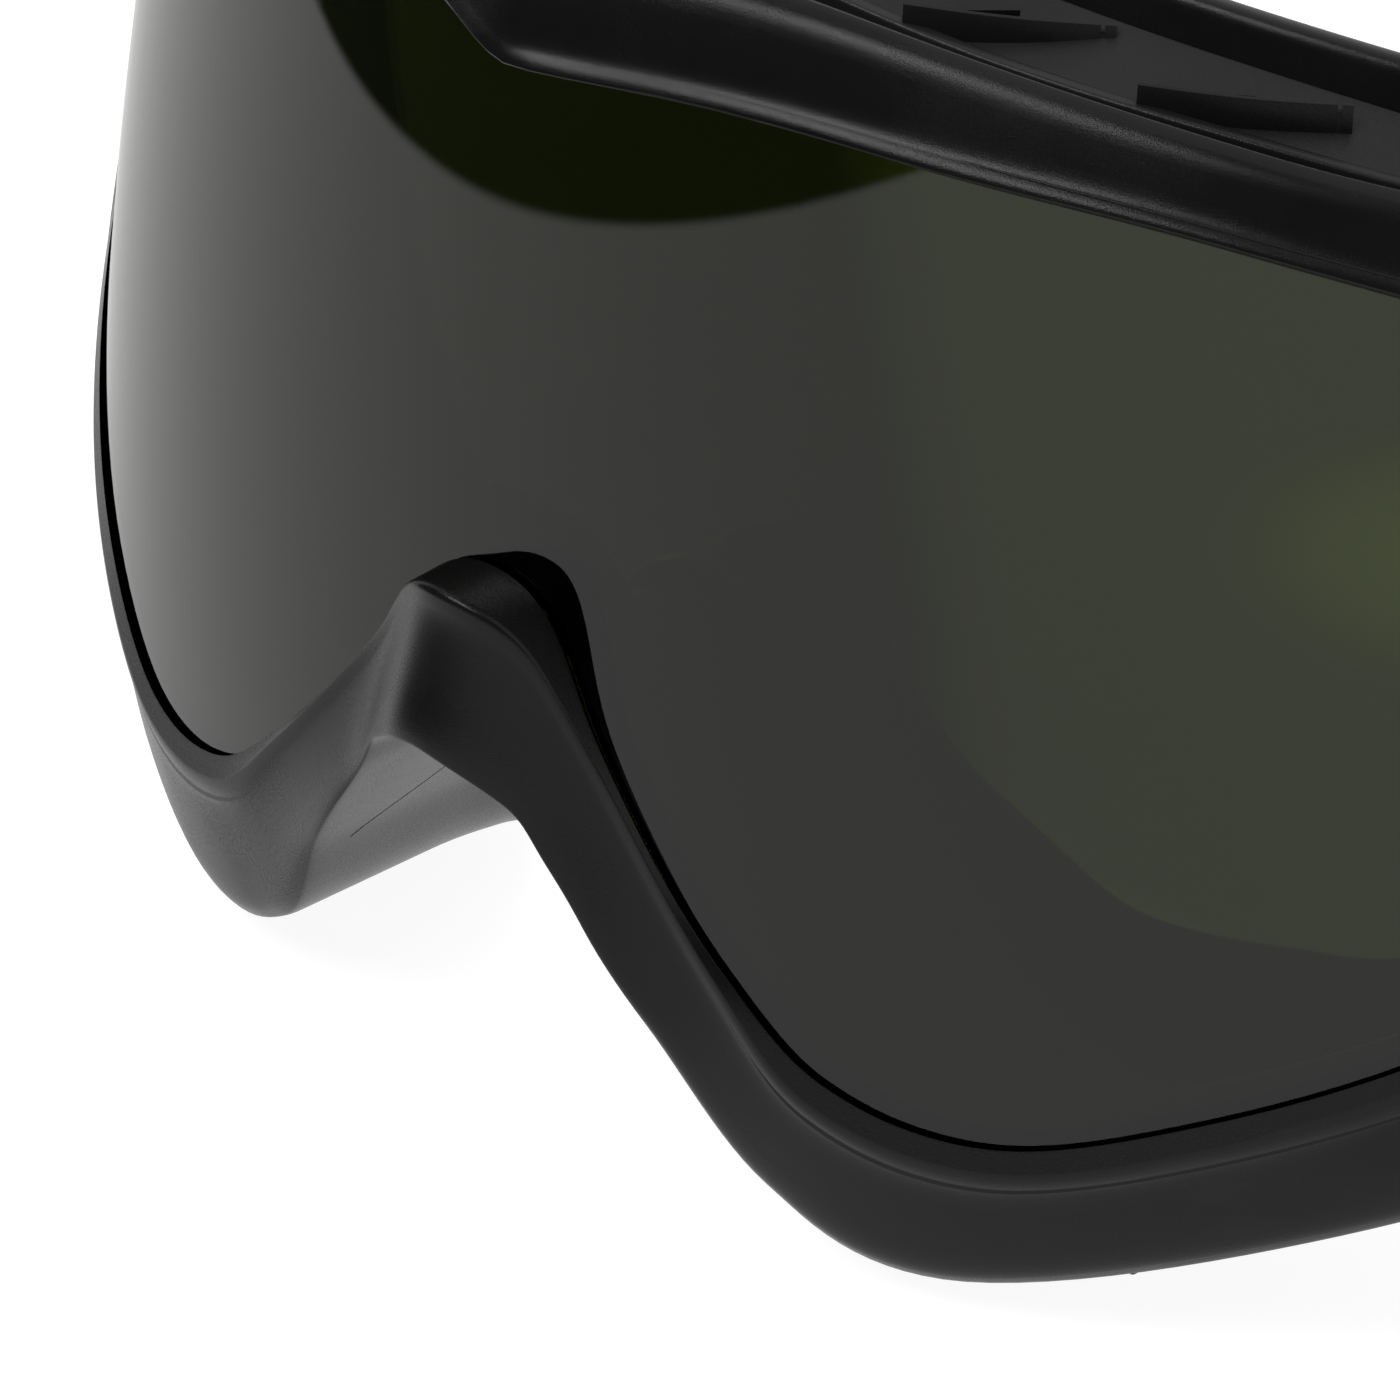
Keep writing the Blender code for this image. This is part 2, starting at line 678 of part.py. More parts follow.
def make_strap(look):
    """One length of webbing as a ribbon of even thickness: an open sheet with Solidify."""
    bm = bmesh.new()
    rows = [
        [bm.verts.new((x, y, z)) for z in (-STRAP_WIDE / 2, STRAP_WIDE / 2)] for x, y in strap_path()
    ]
    for a, b in zip(rows, rows[1:]):
        bm.faces.new((a[0], a[1], b[1], b[0]))
    strap = add("strap", mesh_of("strap", bm), look, STRAP_FRAME)
    thick = strap.modifiers.new("Thickness", "SOLIDIFY")
    thick.thickness = STRAP_THICK * MM
    thick.offset = 0
    thick.use_even_offset = True
    return strap


def make_adjuster(side, name, look):
    """A three-bar slide on the doubled webbing: the middle bar between its layers, the end bars outside."""
    inner = CLIP_IN - CLIP_CLEAR + 0.4
    outer = CLIP_OUT + CLIP_CLEAR + STRAP_THICK + 0.4
    face_out = outer + 2.0
    rail_in = STRAP_WIDE / 2 + 0.4
    rail_out = rail_in + ADJUSTER_RAIL
    half = ADJUSTER_LONG / 2

    def across(low, high):
        return sorted((side * low, side * high))

    (a, b), (c, d) = across(inner, face_out), across(outer, face_out)
    e, f = across(inner, CLIP_OUT + CLIP_CLEAR - 0.4)
    body = add(
        f"strap_adjuster_{name}",
        mesh_of(name, block((a, -half, rail_in), (b, half, rail_out))),
        look,
        STRAP_FRAME,
    )
    body.location = (0, ADJUSTER_AT * MM, 0)
    pieces = {
        "low_rail": block((a, -half, -rail_out), (b, half, -rail_in)),
        "front_bar": block((c, -half, -rail_out), (d, -half + ADJUSTER_BAR, rail_out)),
        "rear_bar": block((c, half - ADJUSTER_BAR, -rail_out), (d, half, rail_out)),
        "middle_bar": block((e, -ADJUSTER_BAR / 2, -rail_out), (f, ADJUSTER_BAR / 2, rail_out)),
    }
    for piece, bm in pieces.items():
        helper = tool(f"{piece}_{name}", bm, STRAP_FRAME)
        helper.location = body.location
        boolean(body, helper, "UNION")
    bevel(body, 0.5, 2, 50)
    return body


# ---------------------------------------------------------------- assembly


def empty(name, place, parent=None, turn=0.0):
    made = bpy.data.objects.new(name, None)
    PARTS.objects.link(made)
    made.location = [v * MM for v in place]
    made.rotation_euler = (turn, 0, 0)
    made.parent = parent
    return made


DESIGN = empty("design_origin", (0, -FRONT_TO_MIDDLE, REST_HEIGHT))
PIVOT = empty("pivot_axis", (0, PIVOT_Y, PIVOT_Z), DESIGN)
STRAP_FRAME = empty("strap_frame", (0, 0, 0), PIVOT, -STRAP_FALL)


def build():
    black = material("black_plastic", (0.018, 0.018, 0.018), 0.38)
    soft = material("soft_black", (0.02, 0.02, 0.02), 0.6)
    dark_glass = material("shade_5", (0.02, 0.05, 0.02), 0.05, alpha=0.9)
    foam = material("vent_foam", (0.03, 0.03, 0.03), 0.95)
    steel = material("steel", (0.55, 0.55, 0.56), 0.3, 1.0)
    nylon = material("nylon", (0.7, 0.7, 0.68), 0.45)
    webbing = material("webbing", (0.025, 0.025, 0.027), 0.85)

    make_frame(black)
    make_lens(dark_glass)
    make_seal(soft)
    make_strap(webbing)
    for side, name in ((1, "left"), (-1, "right")):
        make_louvre(side, name, black)
        make_vent_foam(side, name, foam)
        make_baffle(side, name, foam)
        make_foot(side, name, black)
        make_pin(side, name, steel)
        make_washer(side, name, nylon)
        make_clip(side, name, black)
        make_adjuster(side, name, black)


build()
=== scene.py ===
"""The looks of the welding goggles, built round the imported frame.

Lengths are in millimetres in the design's own frame (the middle of the lip's plane), and TO_WORLD turns them
into metres in the part's frame. Materials, lights and the world are in metres.
"""

import math

import bmesh
import bpy
from mathutils import Matrix, Vector, noise


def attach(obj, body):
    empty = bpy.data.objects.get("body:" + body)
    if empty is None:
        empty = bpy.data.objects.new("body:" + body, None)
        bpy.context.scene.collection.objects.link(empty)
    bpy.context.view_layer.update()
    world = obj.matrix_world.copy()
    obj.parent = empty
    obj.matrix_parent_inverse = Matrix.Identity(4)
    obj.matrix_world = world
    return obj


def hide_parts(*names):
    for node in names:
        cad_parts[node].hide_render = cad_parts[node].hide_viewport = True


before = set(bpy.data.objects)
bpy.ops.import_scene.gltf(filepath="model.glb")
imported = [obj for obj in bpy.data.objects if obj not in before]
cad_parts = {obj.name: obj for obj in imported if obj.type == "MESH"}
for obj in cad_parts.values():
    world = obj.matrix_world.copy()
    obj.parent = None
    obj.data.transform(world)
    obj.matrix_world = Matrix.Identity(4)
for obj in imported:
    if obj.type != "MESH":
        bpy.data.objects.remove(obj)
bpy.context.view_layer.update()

MM = 0.001
SIDES = ((1, "left"), (-1, "right"))

# The design, as in the part's source.
REST_HEIGHT = 48.6
FRONT_TO_MIDDLE = 119.0
WRAP_RADIUS, WRAP_X = 102.0, 80.0
BOW_RADIUS, BOW_MIDDLE, BOW_HALF = 340.0, 3.0, 37.0
RECLINE = math.radians(7.1)
PROW_BROW, PROW_NOSE = 7.6, 4.9
PROW_WIDTH_BROW, PROW_WIDTH_NOSE = 12.9, 7.7
PROW_ROUND_BROW, PROW_ROUND_NOSE = 1.5, 2.2
FACE_DEPTH, FACE_RADIUS = 27.0, 105.0
NOSE_RELIEF, NOSE_RELIEF_WIDTH = 6.0, 15.0
LIP = [
    (0, -0.1), (5.5, -2.2), (11.4, -10.4), (22.6, -24), (31, -32), (43.5, -33.8), (57, -28.8), (71, -20.4),
    (82.4, -8.8), (87, 7), (83.4, 23), (70.5, 33.2), (49, 38.3), (25, 39.5), (0, 40.1),
]
RIM = [
    (0, -11.7), (6.4, -14.8), (9.9, -19.8), (17, -30), (25.2, -42.2), (38.5, -46), (61.5, -37.4), (79, -27),
    (91.4, -12.8), (96, 7.5), (91, 28.4), (73, 38.8), (49.5, 43.1), (25.5, 45.9), (0, 48),
]
REAR = [
    (0, -15.4), (5.4, -17.4), (9.8, -23.4), (16.6, -33), (25.4, -43.8), (38.5, -47.4), (63, -39.5), (81, -29),
    (92.5, -13.5), (96.5, 7.5), (92, 30), (75, 41.9), (50.5, 45.4), (26.5, 47.8), (0, 49.4),
]
GAP = 0.3
LENS_SUNK, LENS_CLEAR, LENS_THICK, LENS_EDGE = 1.0, 0.45, 2.2, 1.2
WALL_IN_BOTTOM, WALL_IN_TOP = 7.8, 1.2
LIP_IN_NOSE, LIP_IN_BOTTOM, LIP_IN_TOP = -0.2, -2.0, -0.5
GROOVE_IN_BOTTOM, GROOVE_IN_TOP = -4.4, -1.2
TROUGH_FLOOR, TROUGH_END = 3.2, 80.0
TROUGH_FRONT, TROUGH_REAR = 7.8, 4.6
FLANGE_THICK, SEAL_DEPTH, CHEEK_REACH = 1.8, 9.0, 8.4
PIVOT_Y, PIVOT_Z = 77.0, 8.0
LUG_IN, LUG_OUT, LUG_HALF, LUG_FRONT = 92.9, 97.2, 9.0, 60.0
PIN_R, PIN_HOLE_R = 2.2, 2.5
WASHER_THICK, WASHER_R = 0.8, 5.5
CLIP_IN, CLIP_OUT, CLIP_REACH, CLIP_BAR, CLIP_CLEAR = 98.6, 102.0, 25.0, 3.2, 0.35
PIN_HEAD_THICK, PIN_HEAD_R = 1.6, 5.4
STRAP_WIDE, STRAP_THICK = 25.0, 1.6
STRAP_FALL = math.radians(14.75)
STRAP_STRAIGHT, STRAP_BACK, TAIL_REACH = 78.0, 72.0, 70.0
STRAP_FULL = 0.8  # the round stretch's fullness: 1 is an ellipse
FOLD_AT = CLIP_REACH - CLIP_BAR + 0.4  # the middle of the fold round the clip's bar, behind the pivot
ADJUSTER_AT, ADJUSTER_LONG, ADJUSTER_RAIL, ADJUSTER_BAR = 52.0, 22.0, 3.0, 3.2
FIN_STARTS = (19.0, 36.4, 55.4)
FIN_TOPS = ((8.5, 9.8), (9.0, 11.2), (9.0, 11.2))
FIN_LONG, FIN_THICK, FIN_TURN, FIN_DEEP = 14.8, 1.2, math.radians(38), 9.2
LOUVRE_THICK, LOUVRE_RIM, LOUVRE_RIM_TOP = 1.4, 1.3, 6.6
LOUVRE_REAR_TOP = 9.2
LOUVRE_END, FOAM_END = 69.4, 60.0
WINDOW_ALONG, WINDOW_BEHIND = (3.5, 8.0), (0.7, 1.9)
FOOT_X, FOOT_Y = 40.0, 25.5
FOOT_LONG, FOOT_DEEP, FOOT_THICK = 10.0, 9.0, 1.5
VENT_LONG, VENT_DEEP, VENT_TOP, STUB_CLEAR = 7.6, 6.6, -36.0, 0.5
BAFFLE_LONG, BAFFLE_DEEP, BAFFLE_LOW, BAFFLE_THICK = 11.0, 9.0, -41.6, 3.0

# Where the camera stands and which way it looks.
CAMERA_TURN, CAMERA_RISE, CAMERA_ROLL = (math.radians(a) for a in (44.31, 28.95, 1.95))
CAMERA_AWAY, CAMERA_LENS, CAMERA_SENSOR = 650, 234, 36
CAMERA_AIM_RIGHT, CAMERA_AIM_UP = 0.020796, -0.015226  # aimed past the lip's middle by these slopes

# How finely the surfaces are drawn.
STEPS = 12  # stations between two points of an outline
CORNER = 5  # points round each corner of a section
BROW_STEPS = 60
FLOOR_HALF = 6000
ROUND = 64

TO_WORLD = Matrix.Scale(MM, 4) @ Matrix.Translation((0, -FRONT_TO_MIDDLE, REST_HEIGHT))
PIVOT_FRAME = TO_WORLD @ Matrix.Translation((0, PIVOT_Y, PIVOT_Z))
STRAP_FRAME = PIVOT_FRAME @ Matrix.Rotation(-STRAP_FALL, 4, "X")


# ---------------- materials


def put(node, **numbers):
    """Sets a node's inputs by their names."""
    for name, number in numbers.items():
        node.inputs[name.replace("_", " ")].default_value = number


class Look:
    """A Principled material and short ways to add nodes to it."""

    def __init__(self, name, colour, roughness, **sockets):
        self.made = bpy.data.materials.new(name)
        self.made.use_nodes = True
        self.tree = self.made.node_tree
        self.shader = self.tree.nodes["Principled BSDF"]
        put(self.shader, Base_Color=(*colour, 1), Roughness=roughness, **sockets)
        self.height = None

    def node(self, kind, **settings):
        made = self.tree.nodes.new("ShaderNode" + kind)
        for name, value in settings.items():
            setattr(made, name, value)
        return made

    def link(self, source, target):
        self.tree.links.new(source, target)

    def spot(self, uv=False, stretch=(1, 1, 1)):
        """Where a texture is read: the piece's own metres, or its UV map, which is in metres too."""
        place = self.node("TexCoord")
        scale = self.node("Mapping")
        scale.inputs["Scale"].default_value = stretch
        self.link(place.outputs["UV" if uv else "Object"], scale.inputs["Vector"])
        return scale.outputs["Vector"]

    def grain(self, scale, detail=2.0, rough=0.5, spot=None):
        made = self.node("TexNoise")
        put(made, Scale=scale, Detail=detail, Roughness=rough)
        self.link(spot or self.spot(), made.inputs["Vector"])
        return made.outputs["Fac"]

    def cells(self, scale, spot=None, feature="F1"):
        made = self.node("TexVoronoi", feature=feature)
        put(made, Scale=scale)
        self.link(spot or self.spot(), made.inputs["Vector"])
        return made.outputs["Distance"]

    def ramp(self, value, low, high, start=0.0, end=1.0):
        """value from start to end, as a number from low to high."""
        made = self.node("MapRange")
        for socket, number in (("From Min", start), ("From Max", end), ("To Min", low), ("To Max", high)):
            made.inputs[socket].default_value = number
        self.link(value, made.inputs["Value"])
        return made.outputs["Result"]

    def maths(self, operation, a, b):
        made = self.node("Math", operation=operation)
        for socket, value in zip(made.inputs, (a, b)):
            if isinstance(value, (int, float)):
                socket.default_value = value
            else:
                self.link(value, socket)
        return made.outputs["Value"]

    def worn(self, start=0.52, end=0.6):
        """1 along convex edges, 0 elsewhere."""
        return self.ramp(self.node("NewGeometry").outputs["Pointiness"], 0, 1, start, end)

    def colour(self, value, dark, light):
        """Mixes the base colour by value."""
        made = self.node("Mix", data_type="RGBA")
        self.link(value, made.inputs["Factor"])
        made.inputs[6].default_value = (*dark, 1)
        made.inputs[7].default_value = (*light, 1)
        self.link(made.outputs[2], self.shader.inputs["Base Color"])

    def roughness(self, value):
        self.link(value, self.shader.inputs["Roughness"])

    def bump(self, value, depth, strength=1.0):
        """Adds a bump layer over the ones before it: depth in metres."""
        made = self.node("Bump")
        put(made, Distance=depth, Strength=strength)
        self.link(value, made.inputs["Height"])
        if self.height:
            self.link(self.height, made.inputs["Normal"])
        self.height = made.outputs["Normal"]
        self.link(self.height, self.shader.inputs["Normal"])


def moulded_black(name, tone=0.004, gloss=0.24, grain=9000, depth=0.00004):
    """Satin moulded plastic: a fine spark-eroded grain, faint flow marks, and edges rubbed smoother."""
    look = Look(name, (tone,) * 3, gloss, Specular_IOR_Level=0.25)
    fine = look.grain(grain, 3)
    wide = look.grain(60, 3, 0.6)
    edges = look.worn()
    shade = look.maths("ADD", look.ramp(wide, 0.0, 0.6, 0.3, 0.7), look.maths("MULTIPLY", edges, 0.5))
    look.colour(shade, (tone * 0.8,) * 3, (tone * 1.5,) * 3)
    dull = look.ramp(wide, gloss - 0.04, gloss + 0.05, 0.3, 0.7)
    dull = look.maths("ADD", dull, look.ramp(fine, -0.04, 0.04, 0.35, 0.65))
    look.roughness(look.maths("SUBTRACT", dull, look.maths("MULTIPLY", edges, 0.08)))
    look.bump(fine, depth, 0.5)
    return look.made


def lens_filter():
    """Polished dark green polycarbonate, with a little handling haze."""
    look = Look("shade_5_filter", (0.025, 0.036, 0.003), 0.02, IOR=1.52, Transmission_Weight=1.0)
    haze = look.grain(35, 4, 0.6)
    look.roughness(look.ramp(haze, 0.0, 0.012, 0.35, 0.75))
    scuffs = look.grain(900, 2, 0.6, look.spot(stretch=(1, 1, 0.06)))
    look.bump(look.ramp(scuffs, 0, 1, 0.62, 0.8), 0.000002, 0.25)
    return look.made


def soft_seal():
    """Matt elastomer with a patchy talc bloom."""
    look = Look("soft_seal", (0.02, 0.02, 0.02), 0.58, Sheen_Weight=0.15, Sheen_Roughness=0.4)
    bloom = look.grain(120, 5, 0.65)
    look.colour(look.ramp(bloom, 0, 1, 0.35, 0.75), (0.014, 0.014, 0.015), (0.036, 0.036, 0.037))
    look.roughness(look.ramp(bloom, 0.5, 0.7, 0.3, 0.7))
    look.bump(look.grain(4000, 3), 0.00006, 0.4)
    return look.made


def vent_foam():
    look = Look("vent_foam", (0.03, 0.03, 0.03), 0.95)
    pores = look.cells(1600)
    look.colour(look.ramp(pores, 0, 1, 0.1, 0.6), (0.006, 0.006, 0.006), (0.06, 0.06, 0.062))
    look.roughness(look.ramp(pores, 0.98, 0.85, 0.0, 0.6))
    look.bump(pores, 0.0005, 0.8)
    return look.made


def turned_steel():
    """Zinc-bright steel with lathe rings and small nicks."""
    look = Look("turned_steel", (0.56, 0.56, 0.58), 0.28, Metallic=1.0)
    rings = look.grain(2500, 2, 0.5, look.spot(stretch=(1, 0.1, 0.1)))
    nicks = look.cells(700)
    look.colour(look.ramp(nicks, 0, 1, 0.05, 0.3), (0.3, 0.3, 0.31), (0.6, 0.6, 0.61))
    look.roughness(look.ramp(rings, 0.2, 0.38, 0.3, 0.7))
    look.bump(rings, 0.00002, 0.4)
    return look.made


def nylon():
    look = Look("natural_nylon", (0.62, 0.61, 0.56), 0.42, Subsurface_Weight=0.1, Subsurface_Scale=0.002)
    cloud = look.grain(400, 4)
    look.colour(look.ramp(cloud, 0, 1, 0.3, 0.7), (0.52, 0.51, 0.46), (0.68, 0.67, 0.63))
    look.roughness(look.ramp(cloud, 0.36, 0.5, 0.3, 0.7))
    look.bump(look.grain(3000, 2), 0.00002, 0.4)
    return look.made


def webbing():
    """Woven elastic: yarn bundles along the strap over and under the ribs, fuzz, and rubbed high spots."""
    look = Look("woven_elastic", (0.02, 0.02, 0.021), 0.8, Sheen_Weight=0.25, Sheen_Roughness=0.5)
    yarns = look.node("TexWave", wave_type="BANDS", bands_direction="Y", wave_profile="SIN")
    put(yarns, Scale=330, Distortion=0.6)
    look.link(look.spot(uv=True), yarns.inputs["Vector"])
    ribs = look.node("TexWave", wave_type="BANDS", bands_direction="X", wave_profile="SIN")
    put(ribs, Scale=262, Distortion=0.4)
    look.link(look.spot(uv=True), ribs.inputs["Vector"])
    weave = look.maths("MULTIPLY", yarns.outputs["Fac"], ribs.outputs["Fac"])
    fuzz = look.grain(5000, 3, 0.7)
    fade = look.grain(45, 3, 0.6)
    tone = look.maths("MULTIPLY", look.maths("ADD", weave, look.ramp(fuzz, -0.3, 0.3)), fade)
    look.colour(look.ramp(tone, 0, 1, 0.0, 0.6), (0.009, 0.009, 0.01), (0.05, 0.05, 0.053))
    look.roughness(look.ramp(weave, 0.92, 0.68))
    look.bump(weave, 0.00022, 0.8)
    look.bump(fuzz, 0.00006, 0.5)
    return look.made


def thread():
    look = Look("bonded_thread", (0.03, 0.03, 0.032), 0.5, Sheen_Weight=0.2)
    twist = look.grain(3500, 2, 0.5, look.spot(stretch=(1, 0.35, 1)))
    look.colour(twist, (0.02, 0.02, 0.021), (0.09, 0.09, 0.095))
    look.roughness(look.ramp(twist, 0.4, 0.65, 0.3, 0.7))
    look.bump(twist, 0.00004, 0.6)
    return look.made


def studio_floor():
    """Seamless white paper that glows, as under a light tent, with a painted shadow in the hollow between the
    goggles and their strap, most of all beside the right temple, and a painted pool of light just behind the
    goggles."""
    # shadow is the painted shadow's colour; glow_middle is the middle of the painted pool of light, in
    # metres.
    paper, shadow, glow_middle = (0.16, 0.16, 0.16), (0.02, 0.02, 0.02), (-0.008, 0.005, 0)
    look = Look("white_paper_painted_shadow", paper, 0.9)
    across = look.node("VectorMath", operation="DOT_PRODUCT")
    across.inputs[1].default_value = (0.67, 0.74, 0)
    along = look.node("VectorMath", operation="DOT_PRODUCT")
    along.inputs[1].default_value = (-0.74, 0.67, 0)
    for axis in (across, along):
        look.link(look.spot(), axis.inputs[0])
    shade = look.node("ValToRGB")
    stops = shade.color_ramp.elements
    stops[0].position, stops[0].color = 0.0, (1, 1, 1, 1)
    stops[1].position, stops[1].color = 1.0, (1, 1, 1, 1)
    # Levels of the painted shadow across the hollow: 1 is bare paper, 0.05 the darkest painted shade.
    bands = ((0.1, 1.0), (0.19, 0.05), (0.48, 0.05), (0.53, 0.3), (0.8, 0.34), (0.95, 1.0))
    for place, level in bands:
        stop = stops.new(place)
        stop.color = (level, level, level, 1)
    look.link(look.ramp(across.outputs["Value"], 0, 1, -0.1281, 0.0319), shade.inputs["Fac"])
    # How far along the hollow the painted shadow reaches.
    reach = look.maths("ADD", along.outputs["Value"], look.maths("MULTIPLY", across.outputs["Value"], 0.9))
    near = look.ramp(reach, 0, 1, -0.099, -0.077)
    far = look.ramp(reach, 1, 0, 0.076, 0.102)
    inside = look.maths("MULTIPLY", near, far)
    # Painted shadow: the paper darkened inside the hollow by these levels.
    painted_shadow = look.maths("SUBTRACT", 1, shade.outputs["Color"])
    light = look.maths("SUBTRACT", 1, look.maths("MULTIPLY", painted_shadow, inside))
    away = look.node("VectorMath", operation="DISTANCE")
    away.inputs[1].default_value = glow_middle
    look.link(look.spot(), away.inputs[0])
    # A painted pool of light on the paper just behind the goggles, lifting it out of the painted shadow.
    glow = look.ramp(away.outputs["Value"], 0.62, 0, 0.004, 0.024)
    light = look.maths("MINIMUM", look.maths("ADD", light, glow), 1)
    # The painted shadow and painted pool of light set both how much the paper glows and its colour.
    look.link(look.maths("MULTIPLY", light, 0.93), look.shader.inputs["Emission Strength"])
    put(look.shader, Emission_Color=(1, 1, 1, 1))
    look.colour(light, shadow, paper)
    look.bump(look.grain(500, 3), 0.00003, 0.2)
    return look.made


# ---------------- mesh tools


def smoothstep(value, low, high):
    t = min(max((value - low) / (high - low), 0.0), 1.0)
    return t * t * (3 - 2 * t)


def mix(a, b, t):
    return a + (b - a) * t


def skin(bm, rings, closed=False):
    """Quads between rings of equal length. Closed joins the last ring to the first; else both ends are
    capped."""
    rows = [[bm.verts.new(p) for p in ring] for ring in rings]
    count = len(rows[0])
    for a, b in zip(rows, rows[1:] + rows[:1] if closed else rows[1:]):
        for i in range(count):
            j = (i + 1) % count
            bm.faces.new((a[i], a[j], b[j], b[i]))
    if not closed:
        bm.faces.new(rows[0][::-1])
        bm.faces.new(rows[-1])


def loft(rings, closed):
    bm = bmesh.new()
    skin(bm, rings, closed)
    return bm


def fillet(points, radii, count=CORNER, closed=True):
    """A polygon with each corner rounded by its radius, in millimetres along the sides. Every corner gives
    the same number of points, so that sections stay alike."""
    made = []
    last = len(points)
    for i, point in enumerate(points):
        before, after = Vector(points[i - 1]), Vector(points[(i + 1) % last])
        point = Vector(point)
        if not closed and i in (0, last - 1):
            made.append(point)
            continue
        to_before, to_after = before - point, after - point
        a = point + to_before * min(radii[i] / max(to_before.length, 1e-6), 0.499)
        b = point + to_after * min(radii[i] / max(to_after.length, 1e-6), 0.499)
        for k in range(count):
            t = k / (count - 1)
            made.append(a.lerp(point, t).lerp(point.lerp(b, t), t))
    return made


def block(low, high):
    bm = bmesh.new()
    size = [h - l for l, h in zip(low, high)]
    middle = [(h + l) / 2 for l, h in zip(low, high)]
    bmesh.ops.create_cube(bm, size=1, matrix=Matrix.Translation(middle) @ Matrix.Diagonal((*size, 1)))
    return bm


def rod(radius, low, high, centre=(0, 0), sides=ROUND):
    """A cylinder along X from low to high, centred on (y, z)."""
    bm = bmesh.new()
    place = Matrix.Translation(((low + high) / 2, *centre)) @ Matrix.Rotation(math.pi / 2, 4, "Y")
    bmesh.ops.create_cone(
        bm, cap_ends=True, segments=sides, radius1=radius, radius2=radius, depth=high - low, matrix=place
    )
    return bm


def mesh_object(name, bm, place=TO_WORLD, look=None, smooth=32):
    bmesh.ops.recalc_face_normals(bm, faces=bm.faces)
    bm.transform(place)
    mesh = bpy.data.meshes.new(name)
    bm.to_mesh(mesh)
    bm.free()
    mesh.shade_smooth()
    mesh.set_sharp_from_angle(angle=math.radians(smooth))
    obj = bpy.data.objects.new(name, mesh)
    bpy.context.scene.collection.objects.link(obj)
    if look:
        mesh.materials.append(look)
    return obj


def settle(obj, smooth=32):
    """Applies the object's modifiers."""
    bpy.context.view_layer.update()
    mesh = bpy.data.meshes.new_from_object(obj.evaluated_get(bpy.context.evaluated_depsgraph_get()))
    mesh.shade_smooth()
    mesh.set_sharp_from_angle(angle=math.radians(smooth))
    obj.modifiers.clear()
    obj.data = mesh


def bevel(obj, width, segments=3, angle=35):
    made = obj.modifiers.new("Bevel", "BEVEL")
    made.width = width * MM
    made.segments = segments
    made.limit_method = "ANGLE"
    made.angle_limit = math.radians(angle)
    made.harden_normals = False


def carve(obj, tools, operation):
    """Cuts the tools from obj, or joins them to it, and removes them."""
    for other in tools:
        made = obj.modifiers.new(operation.title(), "BOOLEAN")
        made.operation = operation
        made.object = other
        made.solver = "MANIFOLD"
    settle(obj)
    for other in tools:
        bpy.data.objects.remove(other)


def place(obj, body, slot, *nodes):
    """Puts a finished piece into the frame: its body and the CAD nodes it stands for, which are hidden. slot
    is not used.
    """
    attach(obj, body)
    if nodes:
        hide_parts(*nodes)
    return obj


# ---------------- the goggles' surfaces


def through(points, u):
    """A Catmull-Rom curve through the half outline's points, mirrored past both of its ends."""

    def point(i):
        last = len(points) - 1
        if i < 0:
            return Vector((-points[-i][0], points[-i][1]))
        if i > last:
            return Vector((-points[2 * last - i][0], points[2 * last - i][1]))
        return Vector(points[i])

    k = min(int(u), len(points) - 2)
    t = u - k
    a, b, c, d = (point(k + n) for n in (-1, 0, 1, 2))
    return 0.5 * (2 * b + (c - a) * t + (2 * a - 5 * b + 4 * c - d) * t**2 + (3 * b - a - 3 * c + d) * t**3)


def wrap(x, z):
    """Y of the lip's plane."""
    ax = abs(x)
    inside = min(ax, WRAP_X)
    drop = math.sqrt(WRAP_RADIUS**2 - inside**2)
    bow = ((z - BOW_MIDDLE) ** 2 - BOW_HALF**2) / (2 * BOW_RADIUS)
    return WRAP_RADIUS - drop + (ax - inside) * inside / drop + math.tan(RECLINE) * z + bow


def prow(x, z):
    t = smoothstep(z, 0, 40)
    height = mix(PROW_NOSE, PROW_BROW, t)
    width = mix(PROW_WIDTH_NOSE, PROW_WIDTH_BROW, t)
    return height * math.exp(-((abs(x) / width) ** mix(PROW_ROUND_NOSE, PROW_ROUND_BROW, t)))


def face(x, z):
    """Y of the frame's rear face."""
    relief = NOSE_RELIEF * math.exp(-((x / NOSE_RELIEF_WIDTH) ** 2)) * (1 - smoothstep(z, -10, 15))
    return FACE_DEPTH + x * x / (2 * FACE_RADIUS) - relief


def outline(u, o):
    """(x, z) at station u. The offset o is millimetres inside the lip below 0, 0 to 10 from lip to rim,
    and 10 to 14 from rim to the rear flange's edge."""
    lip = through(LIP, u)
    if o <= 0:
        step = 0.02
        along = through(LIP, min(u + step, len(LIP) - 1)) - through(LIP, max(u - step, 0))
        if u <= 0 or u >= len(LIP) - 1:
            along.y = 0
        along.normalize()
        return lip + o * Vector((along.y, -along.x))
    rim = through(RIM, u)
    if o <= 10:
        return lip.lerp(rim, o / 10)
    return rim.lerp(through(REAR, u), (o - 10) / 4)


def stations(steps=STEPS):
    """(u, side) right round the goggles: up the left half and down the right half."""
    last = (len(LIP) - 1) * steps
    ups = [(i / steps, 1) for i in range(last + 1)]
    downs = [(i / steps, -1) for i in range(last - 1, 0, -1)]
    return ups + downs


def front(u, o, deep, forward=0.0):
    """A point deep behind the lip's plane, or forward of it by a share of the prow."""
    x, z = outline(u, o)
    return Vector((x, wrap(x, z) + deep - forward * prow(x, z), z))


def glazed(u, o, behind):
    """A point behind the lens's front face, less when negative."""
    x, z = outline(u, o)
    return Vector((x, wrap(x, z) + LENS_SUNK + behind, z))


def rear(u, o, ahead=0.0):
    x, z = outline(u, o)
    return Vector((x, face(x, z) - ahead, z))


